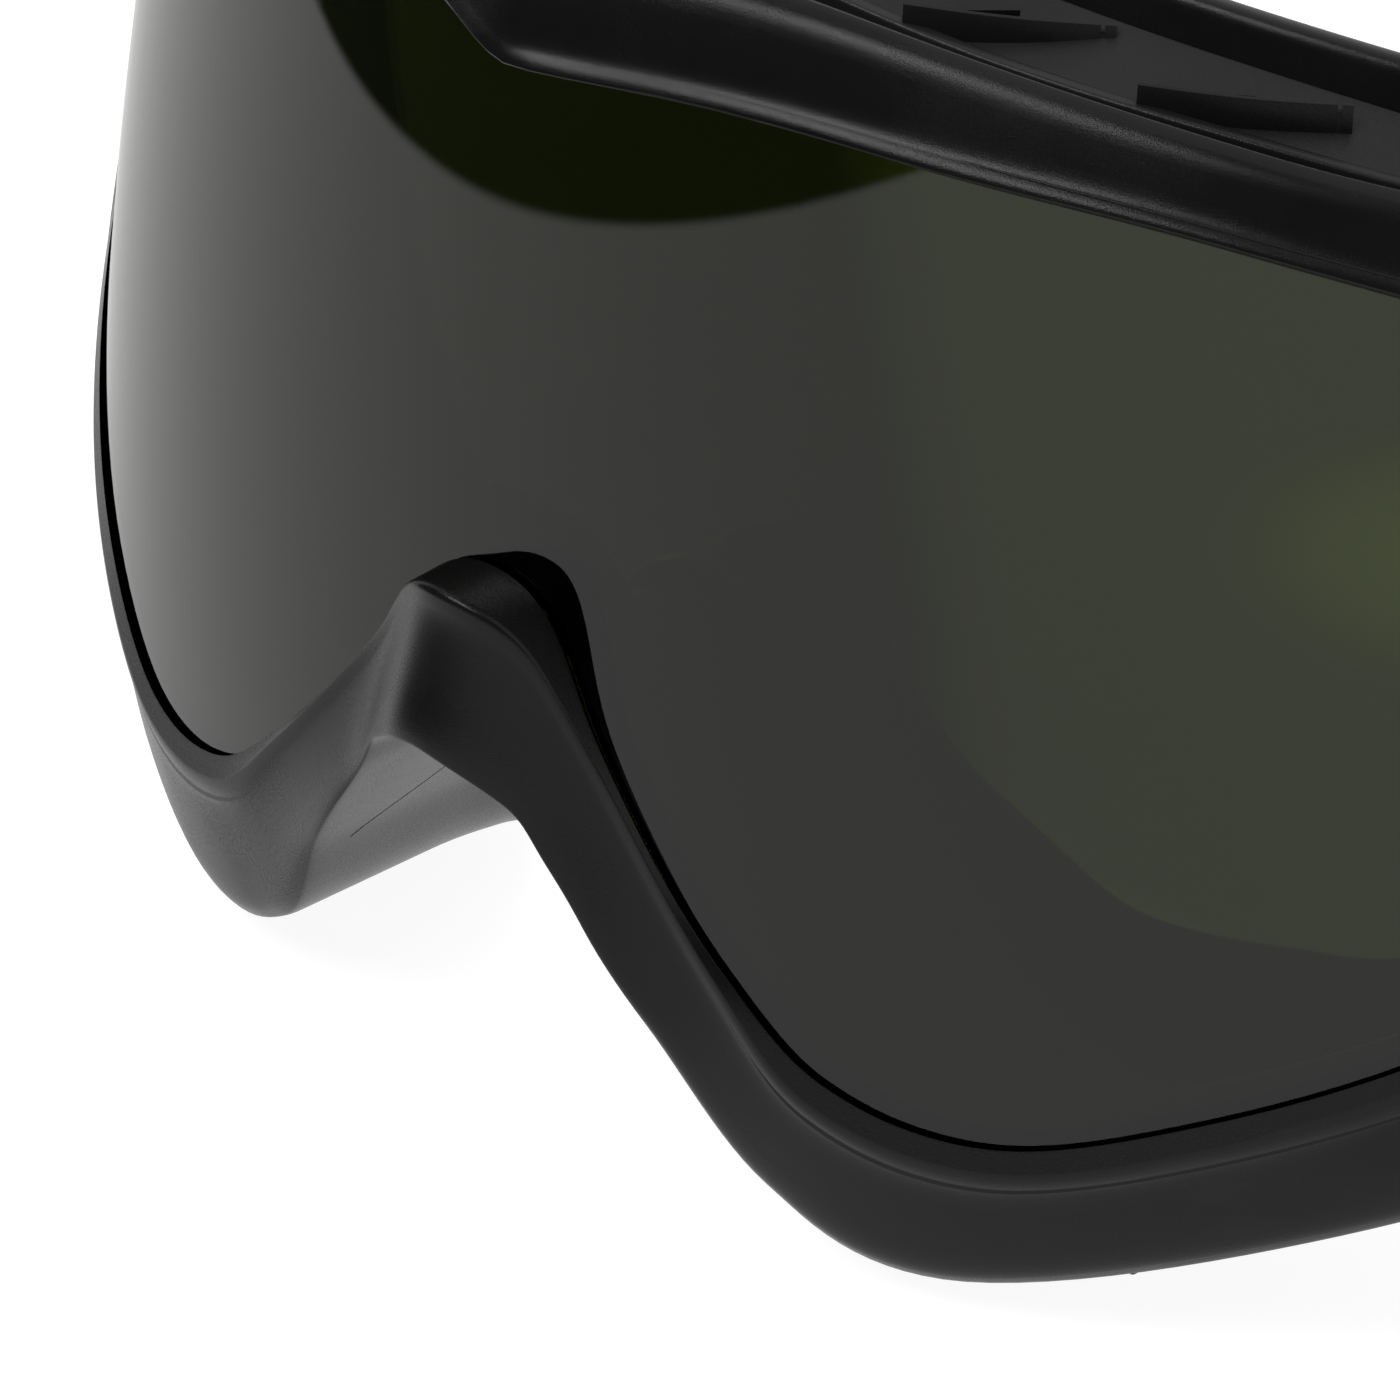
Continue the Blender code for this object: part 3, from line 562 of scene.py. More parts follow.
def sideness(u):
    return smoothstep(abs(through(LIP, u).x), 58, 84)


def bridge(u):
    """1 over the nose, 0 from the cheeks on."""
    return 1 - smoothstep(u, 2.4, 4.2)


def trough(u):
    """1 where the brow is hollowed for the vents, 0 elsewhere."""
    lip = through(LIP, u)
    return smoothstep(lip.y, 24, 32) * (1 - smoothstep(lip.x, TROUGH_END - 8, TROUGH_END))


def seal_line(u):
    """The offset that the middle of the seal's root follows."""
    return 9 + 2 * bridge(u) - 4 * smoothstep(through(LIP, u).y, -20, 36) - 4 * sideness(u)


def mirrored(points, side):
    return [Vector((side * p.x, p.y, p.z)) for p in points]


def station_at(x):
    """The brow station whose rim is nearest to x."""
    last = len(LIP) - 1
    low, high = last - 4.0, float(last)
    for _ in range(24):
        middle = (low + high) / 2
        low, high = (middle, high) if through(RIM, middle).x > x else (low, middle)
    return low


def brow_height(x, o):
    """Z of an offset on the brow, at x."""
    return outline(station_at(abs(x)), o).y


# ---------------- frame, lens and seal


def frame_section(u):
    """The frame's wall at a station, as corners with their radii: lip, band, outer wall or vent trough,
    flange, inner wall, lens groove."""
    t, s, n = trough(u), sideness(u), bridge(u)
    groove_back = LENS_THICK + LENS_CLEAR
    crease = front(u, 10, mix(4.4 - 1.4 * s, -0.6, n), mix(0.7, 1.13, n))
    wall_in = mix(WALL_IN_BOTTOM, WALL_IN_TOP, t)
    brow = smoothstep(through(LIP, u).y, 22, 34)
    lip_in = mix(mix(LIP_IN_BOTTOM, LIP_IN_NOSE, n), LIP_IN_TOP, brow)
    groove_in = mix(GROOVE_IN_BOTTOM, GROOVE_IN_TOP, brow)
    inner = glazed(u, lip_in, -LENS_CLEAR)
    crest = front(u, 0, 0, 1)
    back = rear(u, 10.4, 7)
    low = crease.lerp(back, 0.35)
    high = crease.lerp(back, 0.9)
    seal = seal_line(u)
    return [
        (inner, 0.1),
        (inner.lerp(crest, 0.3), 0.4),
        (inner.lerp(crest, 0.75), 0.5),
        (crest, 0.7),
        (front(u, 0.9, mix(0.3, 0.1, n), 1), 0.8),
        (front(u, 1.8, mix(1.1 - 0.4 * s, 0.3, n), 1), 2.0),
        (front(u, 5.5, mix(1.9 - 4.2 * s, -0.2, n), mix(1, 1.05, n)), 3.0),
        (front(u, 8.6, mix(2.7 - 3.9 * s, -0.9, n), mix(0.95, 1.1, n)), 2.0),
        (front(u, 9.7, mix(3.8 - 3.2 * s, -0.9, n), mix(0.85, 1.12, n)), 1.6),
        (crease, mix(1.6, 0.9, t)),
        (low.lerp(front(u, TROUGH_FLOOR, TROUGH_FRONT), t), mix(3.0, 0.6, t)),
        (high.lerp(rear(u, TROUGH_FLOOR, TROUGH_REAR), t), mix(3.0, 0.9, t)),
        (rear(u, mix(12.6, 13.2, t), mix(3.2, 2.2, t)), 0.9),
        (rear(u, 14, 1.4), 0.7),
        (rear(u, 13.6, 0), 0.5),
        (rear(u, seal - 3.6, 0), 0.4),
        (rear(u, seal - 3.6, FLANGE_THICK), 0.4),
        (rear(u, wall_in, FLANGE_THICK + 1.2), 1.0),
        (front(u, wall_in, mix(7.6, 9.4, t)), 0.8),
        (glazed(u, groove_in, groove_back + 1.7), 0.3),
        (glazed(u, groove_in, groove_back), 0.15),
        (glazed(u, LENS_EDGE + GAP, groove_back), 0.15),
        (glazed(u, LENS_EDGE + GAP, -LENS_CLEAR), 0.1),
    ]


def make_frame(look):
    rings = []
    for u, side in stations():
        points, radii = zip(*frame_section(u))
        rings.append(mirrored(fillet(points, radii), side))
    shell = mesh_object("frame_shell", loft(rings, closed=True), look=look)
    ears = []
    cuts = []
    for side, name in SIDES:
        ear = mesh_object(f"ear_{name}", lug(side), smooth=30)
        bevel(ear, 1.2, 4)
        settle(ear)
        ears.append(ear)
        low, high = sorted((side * 80, side * 110))
        cuts.append(mesh_object("cut", rod(PIN_HOLE_R, low, high, (PIVOT_Y, PIVOT_Z))))
        cuts += [mesh_object("cut", top_window(side, start)) for start in FIN_STARTS]
        cuts.append(mesh_object("cut", upright(side, VENT_LONG, VENT_DEEP, -REST_HEIGHT, VENT_TOP)))
        cuts.append(mesh_object("cut", seam(side)))
    carve(shell, ears, "UNION")
    carve(shell, cuts, "DIFFERENCE")
    return place(shell, "goggles", "frame_plastic", "frame_body")


def lug(side):
    """The ear behind the temple that carries the clip's pin, round at its rear end."""
    points = [(LUG_FRONT, PIVOT_Z - LUG_HALF), (LUG_FRONT, PIVOT_Z + LUG_HALF)]
    turns = [math.pi / 2 - math.pi * i / 32 for i in range(33)]
    points += [(PIVOT_Y + LUG_HALF * math.cos(a), PIVOT_Z + LUG_HALF * math.sin(a)) for a in turns]
    return loft([[(side * x, y, z) for y, z in points] for x in (LUG_IN, LUG_OUT)], closed=False)


def fin_axes(start):
    """Where a fin starts, the way it runs and the way across it, in plan."""
    run = Vector((math.cos(FIN_TURN), math.sin(FIN_TURN)))
    return Vector((start, wrap(start, RIM[-2][1]) + FIN_DEEP)), run, Vector((-run.y, run.x))


def top_window(side, start):
    """An air slot through the brow, hidden behind the fin that starts at this x."""
    root, run, across = fin_axes(start)
    (a, b), (c, d) = WINDOW_ALONG, WINDOW_BEHIND
    corners = [root + along * run + behind * across for along, behind in ((a, c), (b, c), (b, d), (a, d))]
    levels = (brow_height(start, LIP_IN_BOTTOM - 4), brow_height(start, 11))
    return loft([[(side * spot.x, spot.y, z) for spot in corners] for z in levels], closed=False)


def upright(side, long, deep, low, high):
    """A block over the bottom vent's middle."""
    x = FOOT_X * side
    return block((x - long / 2, FOOT_Y - deep / 2, low), (x + long / 2, FOOT_Y + deep / 2, high))


def seam(side):
    """A narrow mould line that runs back and up the nose wall."""
    rings = []
    wide, deep, bow, steps = 0.16, 0.25, 0.5, 12
    for i in range(steps + 1):
        t = i / steps
        u = mix(3.15, 2.5, t)
        y = mix(2.4, 10.6, t) + bow * math.sin(math.pi * t)
        x, z = outline(u, 10)
        inward = (through(LIP, u) - through(RIM, u)).normalized()
        middle = Vector((side * x, y, z))
        depth = Vector((side * inward.x, 0, inward.y)) * deep
        across = Vector((side * inward.y, 0, -inward.x)) * wide
        rings.append([middle - depth * 6 - across, middle - depth * 6 + across, middle + depth + across,
                      middle + depth - across])
    return loft(rings, closed=False)


def make_lens(look):
    """The panoramic lens: both faces follow the lip's plane, and its edge sits in the frame's groove."""
    shares = [1.0, 0.985, 0.96, 0.92] + [0.9 - 0.05 * i for i in range(18)]
    centre = Vector((0, 18))

    def ring(share, deep, inset=0.0):
        points = []
        for u, side in stations(8):
            flat = centre.lerp(outline(u, LENS_EDGE - inset), share)
            points.append((side * flat.x, wrap(flat.x, flat.y) + LENS_SUNK + deep, flat.y))
        return points

    edge = 0.25
    rings = [ring(s, 0, 0.0 if s < 1 else edge) for s in reversed(shares)]
    rings.append(ring(1.0, edge))
    rings.append(ring(1.0, LENS_THICK - edge))
    rings += [ring(s, LENS_THICK, 0.0 if s < 1 else edge) for s in shares]
    lens = mesh_object("lens_filter", loft(rings, closed=False), look=look, smooth=40)
    return place(lens, "goggles", "lens_shade", "lens")


def cheek_reach(u):
    """How much further in the seal runs under the cheeks."""
    lip = through(LIP, u)
    return CHEEK_REACH * smoothstep(lip.x, 14, 42) * (1 - smoothstep(lip.y, -24, 8))


def seal_section(u):
    """A soft skirt: a root on the flange, and a feathered edge that curls in towards the eyes."""
    seal = seal_line(u)
    reach = cheek_reach(u)
    curl = 1 + 0.35 * smoothstep(through(LIP, u).y, 0, 36)
    return [
        (rear(u, seal + 2.8, -GAP), 0.3),
        (rear(u, seal + 2.9, -0.25 * SEAL_DEPTH), 1.2),
        (rear(u, seal + 1.4 / curl, -0.62 * SEAL_DEPTH), 3.0),
        (rear(u, seal - 1.2 * curl - 0.3 * reach, -0.9 * SEAL_DEPTH), 3.0),
        (rear(u, seal - 3.0 * curl - reach, -SEAL_DEPTH), 0.5),
        (rear(u, seal - 3.4 * curl - reach, -0.86 * SEAL_DEPTH), 0.5),
        (rear(u, seal - 1.6 * curl - 0.3 * reach, -0.68 * SEAL_DEPTH), 3.0),
        (rear(u, seal - 0.2, -0.44 * SEAL_DEPTH), 2.0),
        (rear(u, seal - 0.2, -0.26 * SEAL_DEPTH), 0.8),
        (rear(u, seal - 2.8, -0.18 * SEAL_DEPTH), 0.5),
        (rear(u, seal - 2.8, -GAP), 0.3),
    ]


def make_seal(look):
    rings = []
    for u, side in stations():
        points, radii = zip(*seal_section(u))
        rings.append(mirrored(fillet(points, radii), side))
    skirt = mesh_object("face_seal_skirt", loft(rings, closed=True), look=look)
    return place(skirt, "goggles", "seal_rubber", "face_seal")


# ---------------- vents and feet


def brow_strip(side, section, radii, end):
    """A bent bar along one half of the brow, out to x = end. section gives the corners at a station."""
    rings = []
    for i in range(BROW_STEPS + 1):
        corners = section(station_at(mix(1.0, end, i / BROW_STEPS)))
        rings.append(mirrored(fillet(corners, radii), side))
    return loft(rings, closed=False)


def make_louvre(side, name, look):
    """The vent insert: a plate with a rim behind the crest, slanted fins, and the air slots they shelter."""
    low = TROUGH_FLOOR + 0.6
    high = low + LOUVRE_THICK
    deep = TROUGH_FRONT + 1

    def section(u):
        return [
            front(u, low, deep),
            front(u, LOUVRE_RIM_TOP, deep),
            front(u, LOUVRE_RIM_TOP, deep + LOUVRE_RIM),
            front(u, high, deep + LOUVRE_RIM),
            rear(u, LOUVRE_REAR_TOP, TROUGH_REAR - 0.8),
            rear(u, low, TROUGH_REAR + 1),
        ]

    strip = brow_strip(side, section, (0.2, 0.35, 0.35, 0.5, 0.2, 0.2), LOUVRE_END)
    louvre = mesh_object(f"vent_insert_{name}", strip, look=look)
    carve(louvre, [mesh_object("cut", top_window(side, start)) for start in FIN_STARTS], "DIFFERENCE")
    fins = [fin(side, start, high - 0.4, tops) for start, tops in zip(FIN_STARTS, FIN_TOPS)]
    carve(louvre, [mesh_object("fin", made) for made in fins], "UNION")
    return place(louvre, "goggles", "frame_plastic", f"top_vent_louvre_{name}")


def fin(side, start, foot, tops):
    """One fin, from just behind the crest, slanting back and out: thin and round along its top, bowed a
    little, with a nick before its rear end."""
    root, run, across = fin_axes(start)
    rings = []
    half, tip, shoulder = FIN_THICK / 2, 0.2, 0.27
    bow = -0.5
    nick, nick_deep = FIN_LONG - 0.95, 0.5
    stops = [FIN_LONG * i / 24 for i in range(23)] + [FIN_LONG]
    stops += [nick + off for off in (-0.16, -0.15, 0.15, 0.16)]
    for along in sorted(stops):
        t = along / FIN_LONG
        spot = root + along * run + across * (bow * math.sin(math.pi * t))
        low = brow_height(spot.x, foot)
        top = mix(brow_height(root.x, tops[0]), brow_height((root + FIN_LONG * run).x, tops[1]), t)
        if abs(along - nick) < 0.155:
            top -= nick_deep
        flank = [(half, low), (half - 0.1, mix(low, top, 0.5)), (shoulder, top - 0.3), (tip, top - 0.1)]
        section = [(-wide, height) for wide, height in flank] + [(0, top)] + flank[::-1]
        ring = []
        for wide, height in section:
            at = spot + across * wide
            ring.append((side * at.x, at.y, height))
        rings.append(ring)
    return loft(rings, closed=False)


def rough_up(obj, size, amount, seed):
    """Open-cell texture in the mesh itself: points move along their normals by seeded noise."""
    mesh = obj.data
    offset = Vector((seed, 2 * seed, 3 * seed))
    moves = []
    for vertex in mesh.vertices:
        value = noise.noise(vertex.co / (size * MM) + offset)
        moves.append(vertex.co + vertex.normal * min(value, 0.0) * amount * MM)
    for vertex, spot in zip(mesh.vertices, moves):
        vertex.co = spot


def make_vent_foam(side, name, look):
    """The porous strip under the trough's floor."""
    low, high = -1.6, WALL_IN_TOP - 0.6

    def section(u):
        return [front(u, low, 10.2), front(u, high, 10.2), rear(u, high, 4.4), rear(u, low, 4.4)]

    strip = mesh_object(f"brow_foam_{name}", brow_strip(side, section, (0.3,) * 4, FOAM_END), look=look)
    divide = strip.modifiers.new("Fine", "SUBSURF")
    divide.subdivision_type = "SIMPLE"
    divide.levels = divide.render_levels = 2
    settle(strip)
    rough_up(strip, 0.7, 0.35, 3 + side)
    return place(strip, "goggles", "vent_foam", f"top_vent_foam_{name}")


def make_baffle(side, name, look):
    """The foam pad over the bottom vent, inside the frame."""
    bm = upright(side, BAFFLE_LONG, BAFFLE_DEEP, BAFFLE_LOW, BAFFLE_LOW + BAFFLE_THICK)
    bmesh.ops.subdivide_edges(bm, edges=bm.edges, cuts=24, use_grid_fill=True)
    pad = mesh_object(f"cheek_foam_{name}", bm, look=look)
    rough_up(pad, 0.7, 0.4, 8 + side)
    return place(pad, "goggles", "vent_foam", f"bottom_vent_foam_{name}")


def make_foot(side, name, look):
    """The cap under the bottom vent: a flat pad with round corners and a plug."""
    low, high = -REST_HEIGHT, -REST_HEIGHT + FOOT_THICK
    foot = mesh_object(f"vent_cap_{name}", upright(side, FOOT_LONG, FOOT_DEEP, low, high), look=look)
    bevel(foot, 0.4, 4)
    settle(foot)
    plug = upright(side, VENT_LONG - 2 * STUB_CLEAR, VENT_DEEP - 2 * STUB_CLEAR, low + 0.5, high + 4)
    carve(foot, [mesh_object("plug", plug)], "UNION")
    return place(foot, "goggles", "frame_plastic", f"bottom_vent_cover_{name}")


# ---------------- pivots, clips and strap


def spun(points, side):
    """A section of (radius, x) points at each step round the pivot's axis."""
    turns = [2 * math.pi * k / ROUND for k in range(ROUND)]
    return [[(side * p.y, p.x * math.cos(a), p.x * math.sin(a)) for p in points] for a in turns]


def turned(name, profile, side, look, radii):
    """A solid turned about the pivot's axis from (radius, x) pairs."""
    points = fillet([(r, x, 0) for r, x in profile], radii, 6, closed=False)
    rings = spun(points[1:-1], side)
    bm = bmesh.new()
    rows = [[bm.verts.new(p) for p in ring] for ring in rings]
    for a, b in zip(rows, rows[1:] + rows[:1]):
        for i in range(len(a) - 1):
            bm.faces.new((a[i], a[i + 1], b[i + 1], b[i]))
    for end in (0, -1):
        bm.faces.new([row[end] for row in rows])
    return mesh_object(name, bm, PIVOT_FRAME, look, 35)


def make_pin(side, name, look):
    """A semi-tubular rivet: a domed head with a shallow dimple, and a rolled tail."""
    tail_in, tail_out = LUG_IN - 1.6, LUG_IN - GAP
    head = CLIP_OUT + GAP
    top = head + PIN_HEAD_THICK
    profile = [
        (0, tail_in + 0.5), (1.5, tail_in + 0.5), (2.1, tail_in), (3.4, tail_in + 0.3), (3.4, tail_out),
        (PIN_R, tail_out), (PIN_R, head), (PIN_HEAD_R, head), (PIN_HEAD_R, head + 0.8),
        (PIN_HEAD_R - 1.4, top), (1.9, top), (1.5, top - 0.35), (0, top - 0.35),
    ]
    radii = [0, 0.3, 0.4, 0.4, 0.3, 0.15, 0.15, 0.2, 0.5, 1.2, 0.2, 0.2, 0]
    pin = turned(f"rivet_{name}", profile, side, look, radii)
    return place(pin, "goggles", "steel", f"pivot_pin_{name}")


def make_washer(side, name, look):
    low, high = LUG_OUT + GAP, LUG_OUT + GAP + WASHER_THICK
    profile = [(PIN_HOLE_R, low), (WASHER_R, low), (WASHER_R, high), (PIN_HOLE_R, high)]
    section = fillet([(r, x, 0) for r, x in profile], (0.15, 0.25, 0.25, 0.15), 4)
    washer = mesh_object(f"thrust_washer_{name}", loft(spun(section, side), closed=True), PIVOT_FRAME, look)
    return place(washer, "goggles", "nylon", f"pivot_washer_{name}")


def plate(outlines, thick):
    """A flat plate in the YZ plane, thick along X, from closed outlines. Those inside the first are holes."""
    curve = bpy.data.curves.new("plate", "CURVE")
    curve.dimensions = "2D"
    curve.fill_mode = "BOTH"
    curve.extrude = thick / 2
    for points in outlines:
        spline = curve.splines.new("POLY")
        spline.points.add(len(points) - 1)
        for spot, (y, z) in zip(spline.points, points):
            spot.co = (y, z, 0, 1)
        spline.use_cyclic_u = True
    shape = bpy.data.objects.new("plate", curve)
    bpy.context.scene.collection.objects.link(shape)
    bpy.context.view_layer.update()
    mesh = bpy.data.meshes.new_from_object(shape.evaluated_get(bpy.context.evaluated_depsgraph_get()))
    bpy.data.objects.remove(shape)
    bm = bmesh.new()
    bm.from_mesh(mesh)
    bmesh.ops.remove_doubles(bm, verts=bm.verts, dist=0.001)
    bm.transform(Matrix(((0, 0, 1, 0), (1, 0, 0, 0), (0, 1, 0, 0), (0, 0, 0, 1))))
    return bm


def arc(centre, radius, start, end, count):
    turns = [math.radians(mix(start, end, i / count)) for i in range(count + 1)]
    return [(centre[0] + radius * math.cos(a), centre[1] + radius * math.sin(a)) for a in turns]


def rounded(low, high, radius, count=8):
    """A rectangle with round corners, anticlockwise."""
    (a, b), (c, d), r = low, high, radius
    return (
        arc((c - r, b + r), r, -90, 0, count)
        + arc((c - r, d - r), r, 0, 90, count)
        + arc((a + r, d - r), r, 90, 180, count)
        + arc((a + r, b + r), r, 180, 270, count)
    )


def make_clip(side, name, look, body):
    """The outrigger: a round boss on the pin, two arms with a step along them, and the strap's bar."""
    boss, half, corner = 8.0, 16.6, 3.5
    edge = CLIP_REACH
    outer = arc((0, 0), boss, 125, 235, 24)
    outer += [(6, -half + 2.2)] + arc((edge - corner, -half + corner), corner, -90, 0, 10)
    outer += arc((edge - corner, half - corner), corner, 0, 90, 10) + [(6, half - 2.2)]
    hole = arc((0, 0), PIN_HOLE_R, 0, 354, 59)
    slot = rounded((edge - 9.5, -13.3), (edge - CLIP_BAR, 13.3), 1.2)
    middle = (CLIP_IN + CLIP_OUT) / 2
    at = STRAP_FRAME @ Matrix.Translation((side * middle, 0, 0))
    clip = mesh_object(f"outrigger_{name}", plate([outer, hole, slot], CLIP_OUT - CLIP_IN), at, look)
    bevel(clip, 0.45, 4, 50)
    settle(clip)
    pocket = plate([[(8.2, -8.2), (12.6, -11.2), (12.6, 11.2), (8.2, 8.2)]], 1.4)
    pocket_at = STRAP_FRAME @ Matrix.Translation((side * CLIP_OUT, 0, 0))
    cut = mesh_object("cut", pocket, pocket_at)
    bevel(cut, 0.3, 3)
    settle(cut)
    carve(clip, [cut], "DIFFERENCE")
    return place(clip, body, "clip_plastic", f"strap_clip_{name}")


def strap_path():
    """The middle of the webbing in plan, from the left tail's end round the head to the right tail's end."""
    inner = CLIP_IN - CLIP_CLEAR - STRAP_THICK / 2
    outer = CLIP_OUT + CLIP_CLEAR + STRAP_THICK / 2
    turn, middle = (outer - inner) / 2, (outer + inner) / 2
    run_end = FOLD_AT + STRAP_STRAIGHT
    tail = [(outer, FOLD_AT + TAIL_REACH), (outer, FOLD_AT)]
    turns = [math.pi * i / 24 for i in range(1, 24)]
    fold = [(middle + turn * math.cos(a), FOLD_AT - turn * math.sin(a)) for a in turns]
    run = [(inner, FOLD_AT), (inner, run_end)]
    sweep = [math.pi / 2 * i / 70 for i in range(1, 70)]
    back = [
        (inner * math.cos(a) ** STRAP_FULL, run_end + STRAP_BACK * math.sin(a) ** STRAP_FULL) for a in sweep
    ]
    half = tail + fold + run + back
    return half + [(0, run_end + STRAP_BACK)] + [(-x, y) for x, y in reversed(half)]


def along(points, pitch):
    """Points a pitch apart along a polyline, each with its direction and its distance from the start."""
    made = []
    walked, target = 0.0, 0.0
    for a, b in zip(points, points[1:]):
        a, b = Vector(a), Vector(b)
        long = (b - a).length
        while target <= walked + long:
            made.append((a.lerp(b, (target - walked) / long), target))
            target += pitch
        walked += long
    out = []
    for i, (spot, at) in enumerate(made):
        ahead = made[min(i + 2, len(made) - 1)][0] - made[max(i - 2, 0)][0]
        out.append((spot, ahead.normalized(), at))
    return out


def make_strap(look, sewing):
    """One length of ribbed elastic webbing, with thick selvedges and a sewn hem at each free end."""
    pitch, rib = 0.6, 0.07
    wide = STRAP_WIDE / 2
    spots = along(strap_path(), pitch)
    bm = bmesh.new()
    flat = bm.loops.layers.uv.new("UVMap")
    across = [-wide + 0.5] + [-wide + 1.6 + i * (2 * wide - 3.2) / 10 for i in range(11)] + [wide - 0.5]
    rows = []
    for i, (spot, ahead, at) in enumerate(spots):
        normal = Vector((ahead.y, -ahead.x))
        half = STRAP_THICK / 2 - (rib if i % 2 else 0)
        ring = []
        for face_side in (1, -1):
            for z in across if face_side == 1 else reversed(across):
                bead = 0.04 if abs(z) > wide - 1.8 else 0
                p = spot + normal * face_side * (min(half + bead, STRAP_THICK / 2))
                ring.append(((p.x, p.y, z), at, z + (0 if face_side == 1 else 2 * STRAP_WIDE)))
            edge = wide if face_side == 1 else -wide
            ring.append(((spot.x, spot.y, edge), at, edge))
        rows.append([(bm.verts.new(p), u, v) for p, u, v in ring])
    count = len(rows[0])
    for a, b in zip(rows, rows[1:]):
        for i in range(count):
            j = (i + 1) % count
            made = bm.faces.new((a[i][0], a[j][0], b[j][0], b[i][0]))
            for loop, (_, u, v) in zip(made.loops, (a[i], a[j], b[j], b[i])):
                loop[flat].uv = (u * MM, v * MM)
    bm.faces.new([v for v, _, _ in rows[0]][::-1])
    bm.faces.new([v for v, _, _ in rows[-1]])
    strap = mesh_object("head_strap", bm, STRAP_FRAME, look, 60)
    place(strap, "strap_and_left_clip", "webbing", "strap")
    for side, name in SIDES:
        stitches = mesh_object(f"hem_stitches_{name}", hem(side, spots), STRAP_FRAME, sewing, 60)
        place(stitches, "strap_and_left_clip", "webbing")


def hem(side, spots):
    """Two rows of stitches across the webbing's free end, each a short raised loop of thread."""
    bm = bmesh.new()
    x = side * (CLIP_OUT + CLIP_CLEAR + STRAP_THICK)
    end = FOLD_AT + TAIL_REACH
    step = 2.1
    for row in (end - 2.2, end - 9.0):
        for k in range(-5, 6):
            thread_loop(bm, (x, row, k * step), (0, 0, 1), 1.6)
    for edge in (-11.2, 11.2):
        for k in range(3):
            thread_loop(bm, (x, end - 3.4 - k * step - 0.1, edge), (0, 1, 0), 1.6)
    return bm


def thread_loop(bm, at, along_axis, long, thick=0.22):
    """One stitch: a thin arched tube that dips into the webbing at both ends."""
    out = Vector((math.copysign(1, at[0]), 0, 0))
    axis = Vector(along_axis)
    rings = []
    for i in range(7):
        t = i / 6
        centre = Vector(at) + axis * (t - 0.5) * long + out * (0.16 * math.sin(math.pi * t) - 0.08)
        tip = 0.55 + 0.45 * math.sin(math.pi * t)
        side_way = axis.cross(out)
        turns = [2 * math.pi * k / 8 for k in range(8)]
        rings.append([centre + (out * math.cos(a) + side_way * math.sin(a)) * thick * tip for a in turns])
    skin(bm, rings)


def make_adjuster(side, name, look):
    """A three-bar slide: two rails, two ribbed outer bars and a middle bar between the webbing's layers."""
    inner = CLIP_IN - CLIP_CLEAR + 0.4
    outer = CLIP_OUT + CLIP_CLEAR + STRAP_THICK + 0.4
    top = outer + 2.0
    rail_in = STRAP_WIDE / 2 + 0.4
    rail_out = rail_in + ADJUSTER_RAIL
    half = ADJUSTER_LONG / 2
    between = CLIP_OUT + CLIP_CLEAR - 0.4
    at = STRAP_FRAME @ Matrix.Translation((0, ADJUSTER_AT, 0))

    def bar(low, high, y0, y1, z0, z1):
        a, b = sorted((side * low, side * high))
        return mesh_object("bar", block((a, y0, z0), (b, y1, z1)), at)

    frame_bars = [
        bar(inner, top, -half, half, -rail_out, -rail_in),
        bar(outer, top, -half, -half + ADJUSTER_BAR, -rail_out, rail_out),
        bar(outer, top, half - ADJUSTER_BAR, half, -rail_out, rail_out),
        bar(inner, between, -ADJUSTER_BAR / 2, ADJUSTER_BAR / 2, -rail_out, rail_out),
    ]
    body = bar(inner, top, -half, half, rail_in, rail_out)
    body.name = f"slide_{name}"
    body.data.materials.append(look)
    carve(body, frame_bars, "UNION")
    bevel(body, 0.6, 4, 50)
    settle(body)
    grooves = []
    for end in (-1, 1):
        for k in (-0.8, 0.0, 0.8):
            y = end * (half - ADJUSTER_BAR / 2) + k
            a, b = sorted((side * (top - 0.25), side * (top + 1)))
            grooves.append(mesh_object("groove", block((a, y - 0.18, -10.5), (b, y + 0.18, 10.5)), at))
    carve(body, grooves, "DIFFERENCE")
    return place(body, f"{name}_adjuster", "clip_plastic", f"strap_adjuster_{name}")


# ---------------- the studio


def view_axes():
    """The camera's right, up and backward directions."""
    turn, rise, roll = CAMERA_TURN, CAMERA_RISE, CAMERA_ROLL
    back = Vector((math.sin(turn) * math.cos(rise), -math.cos(turn) * math.cos(rise), math.sin(rise)))
    right = Vector((math.cos(turn), math.sin(turn), 0))
    up = back.cross(right)
    return right * math.cos(roll) + up * math.sin(roll), up * math.cos(roll) - right * math.sin(roll), back


def make_camera():
    """A long lens, aimed past the bridge at the wearer's left cheek."""
    right, up, back = view_axes()
    data = bpy.data.cameras.new("camera")
    data.sensor_width = CAMERA_SENSOR
    data.lens = CAMERA_LENS
    data.clip_start = 0.01
    camera = bpy.data.objects.new("camera", data)
    bpy.context.scene.collection.objects.link(camera)
    out = (back - CAMERA_AIM_RIGHT * right - CAMERA_AIM_UP * up).normalized()
    level = up.cross(out).normalized()
    turn = Matrix((level, out.cross(level), out)).transposed().to_4x4()
    camera.matrix_world = Matrix.Translation(TO_WORLD @ (back * CAMERA_AWAY)) @ turn
    bpy.context.scene.camera = camera


def make_floor(look):
    bm = bmesh.new()
    bmesh.ops.create_grid(bm, x_segments=8, y_segments=8, size=FLOOR_HALF)
    floor = mesh_object("paper_floor", bm, Matrix.Scale(MM, 4), look)
    floor.visible_glossy = False


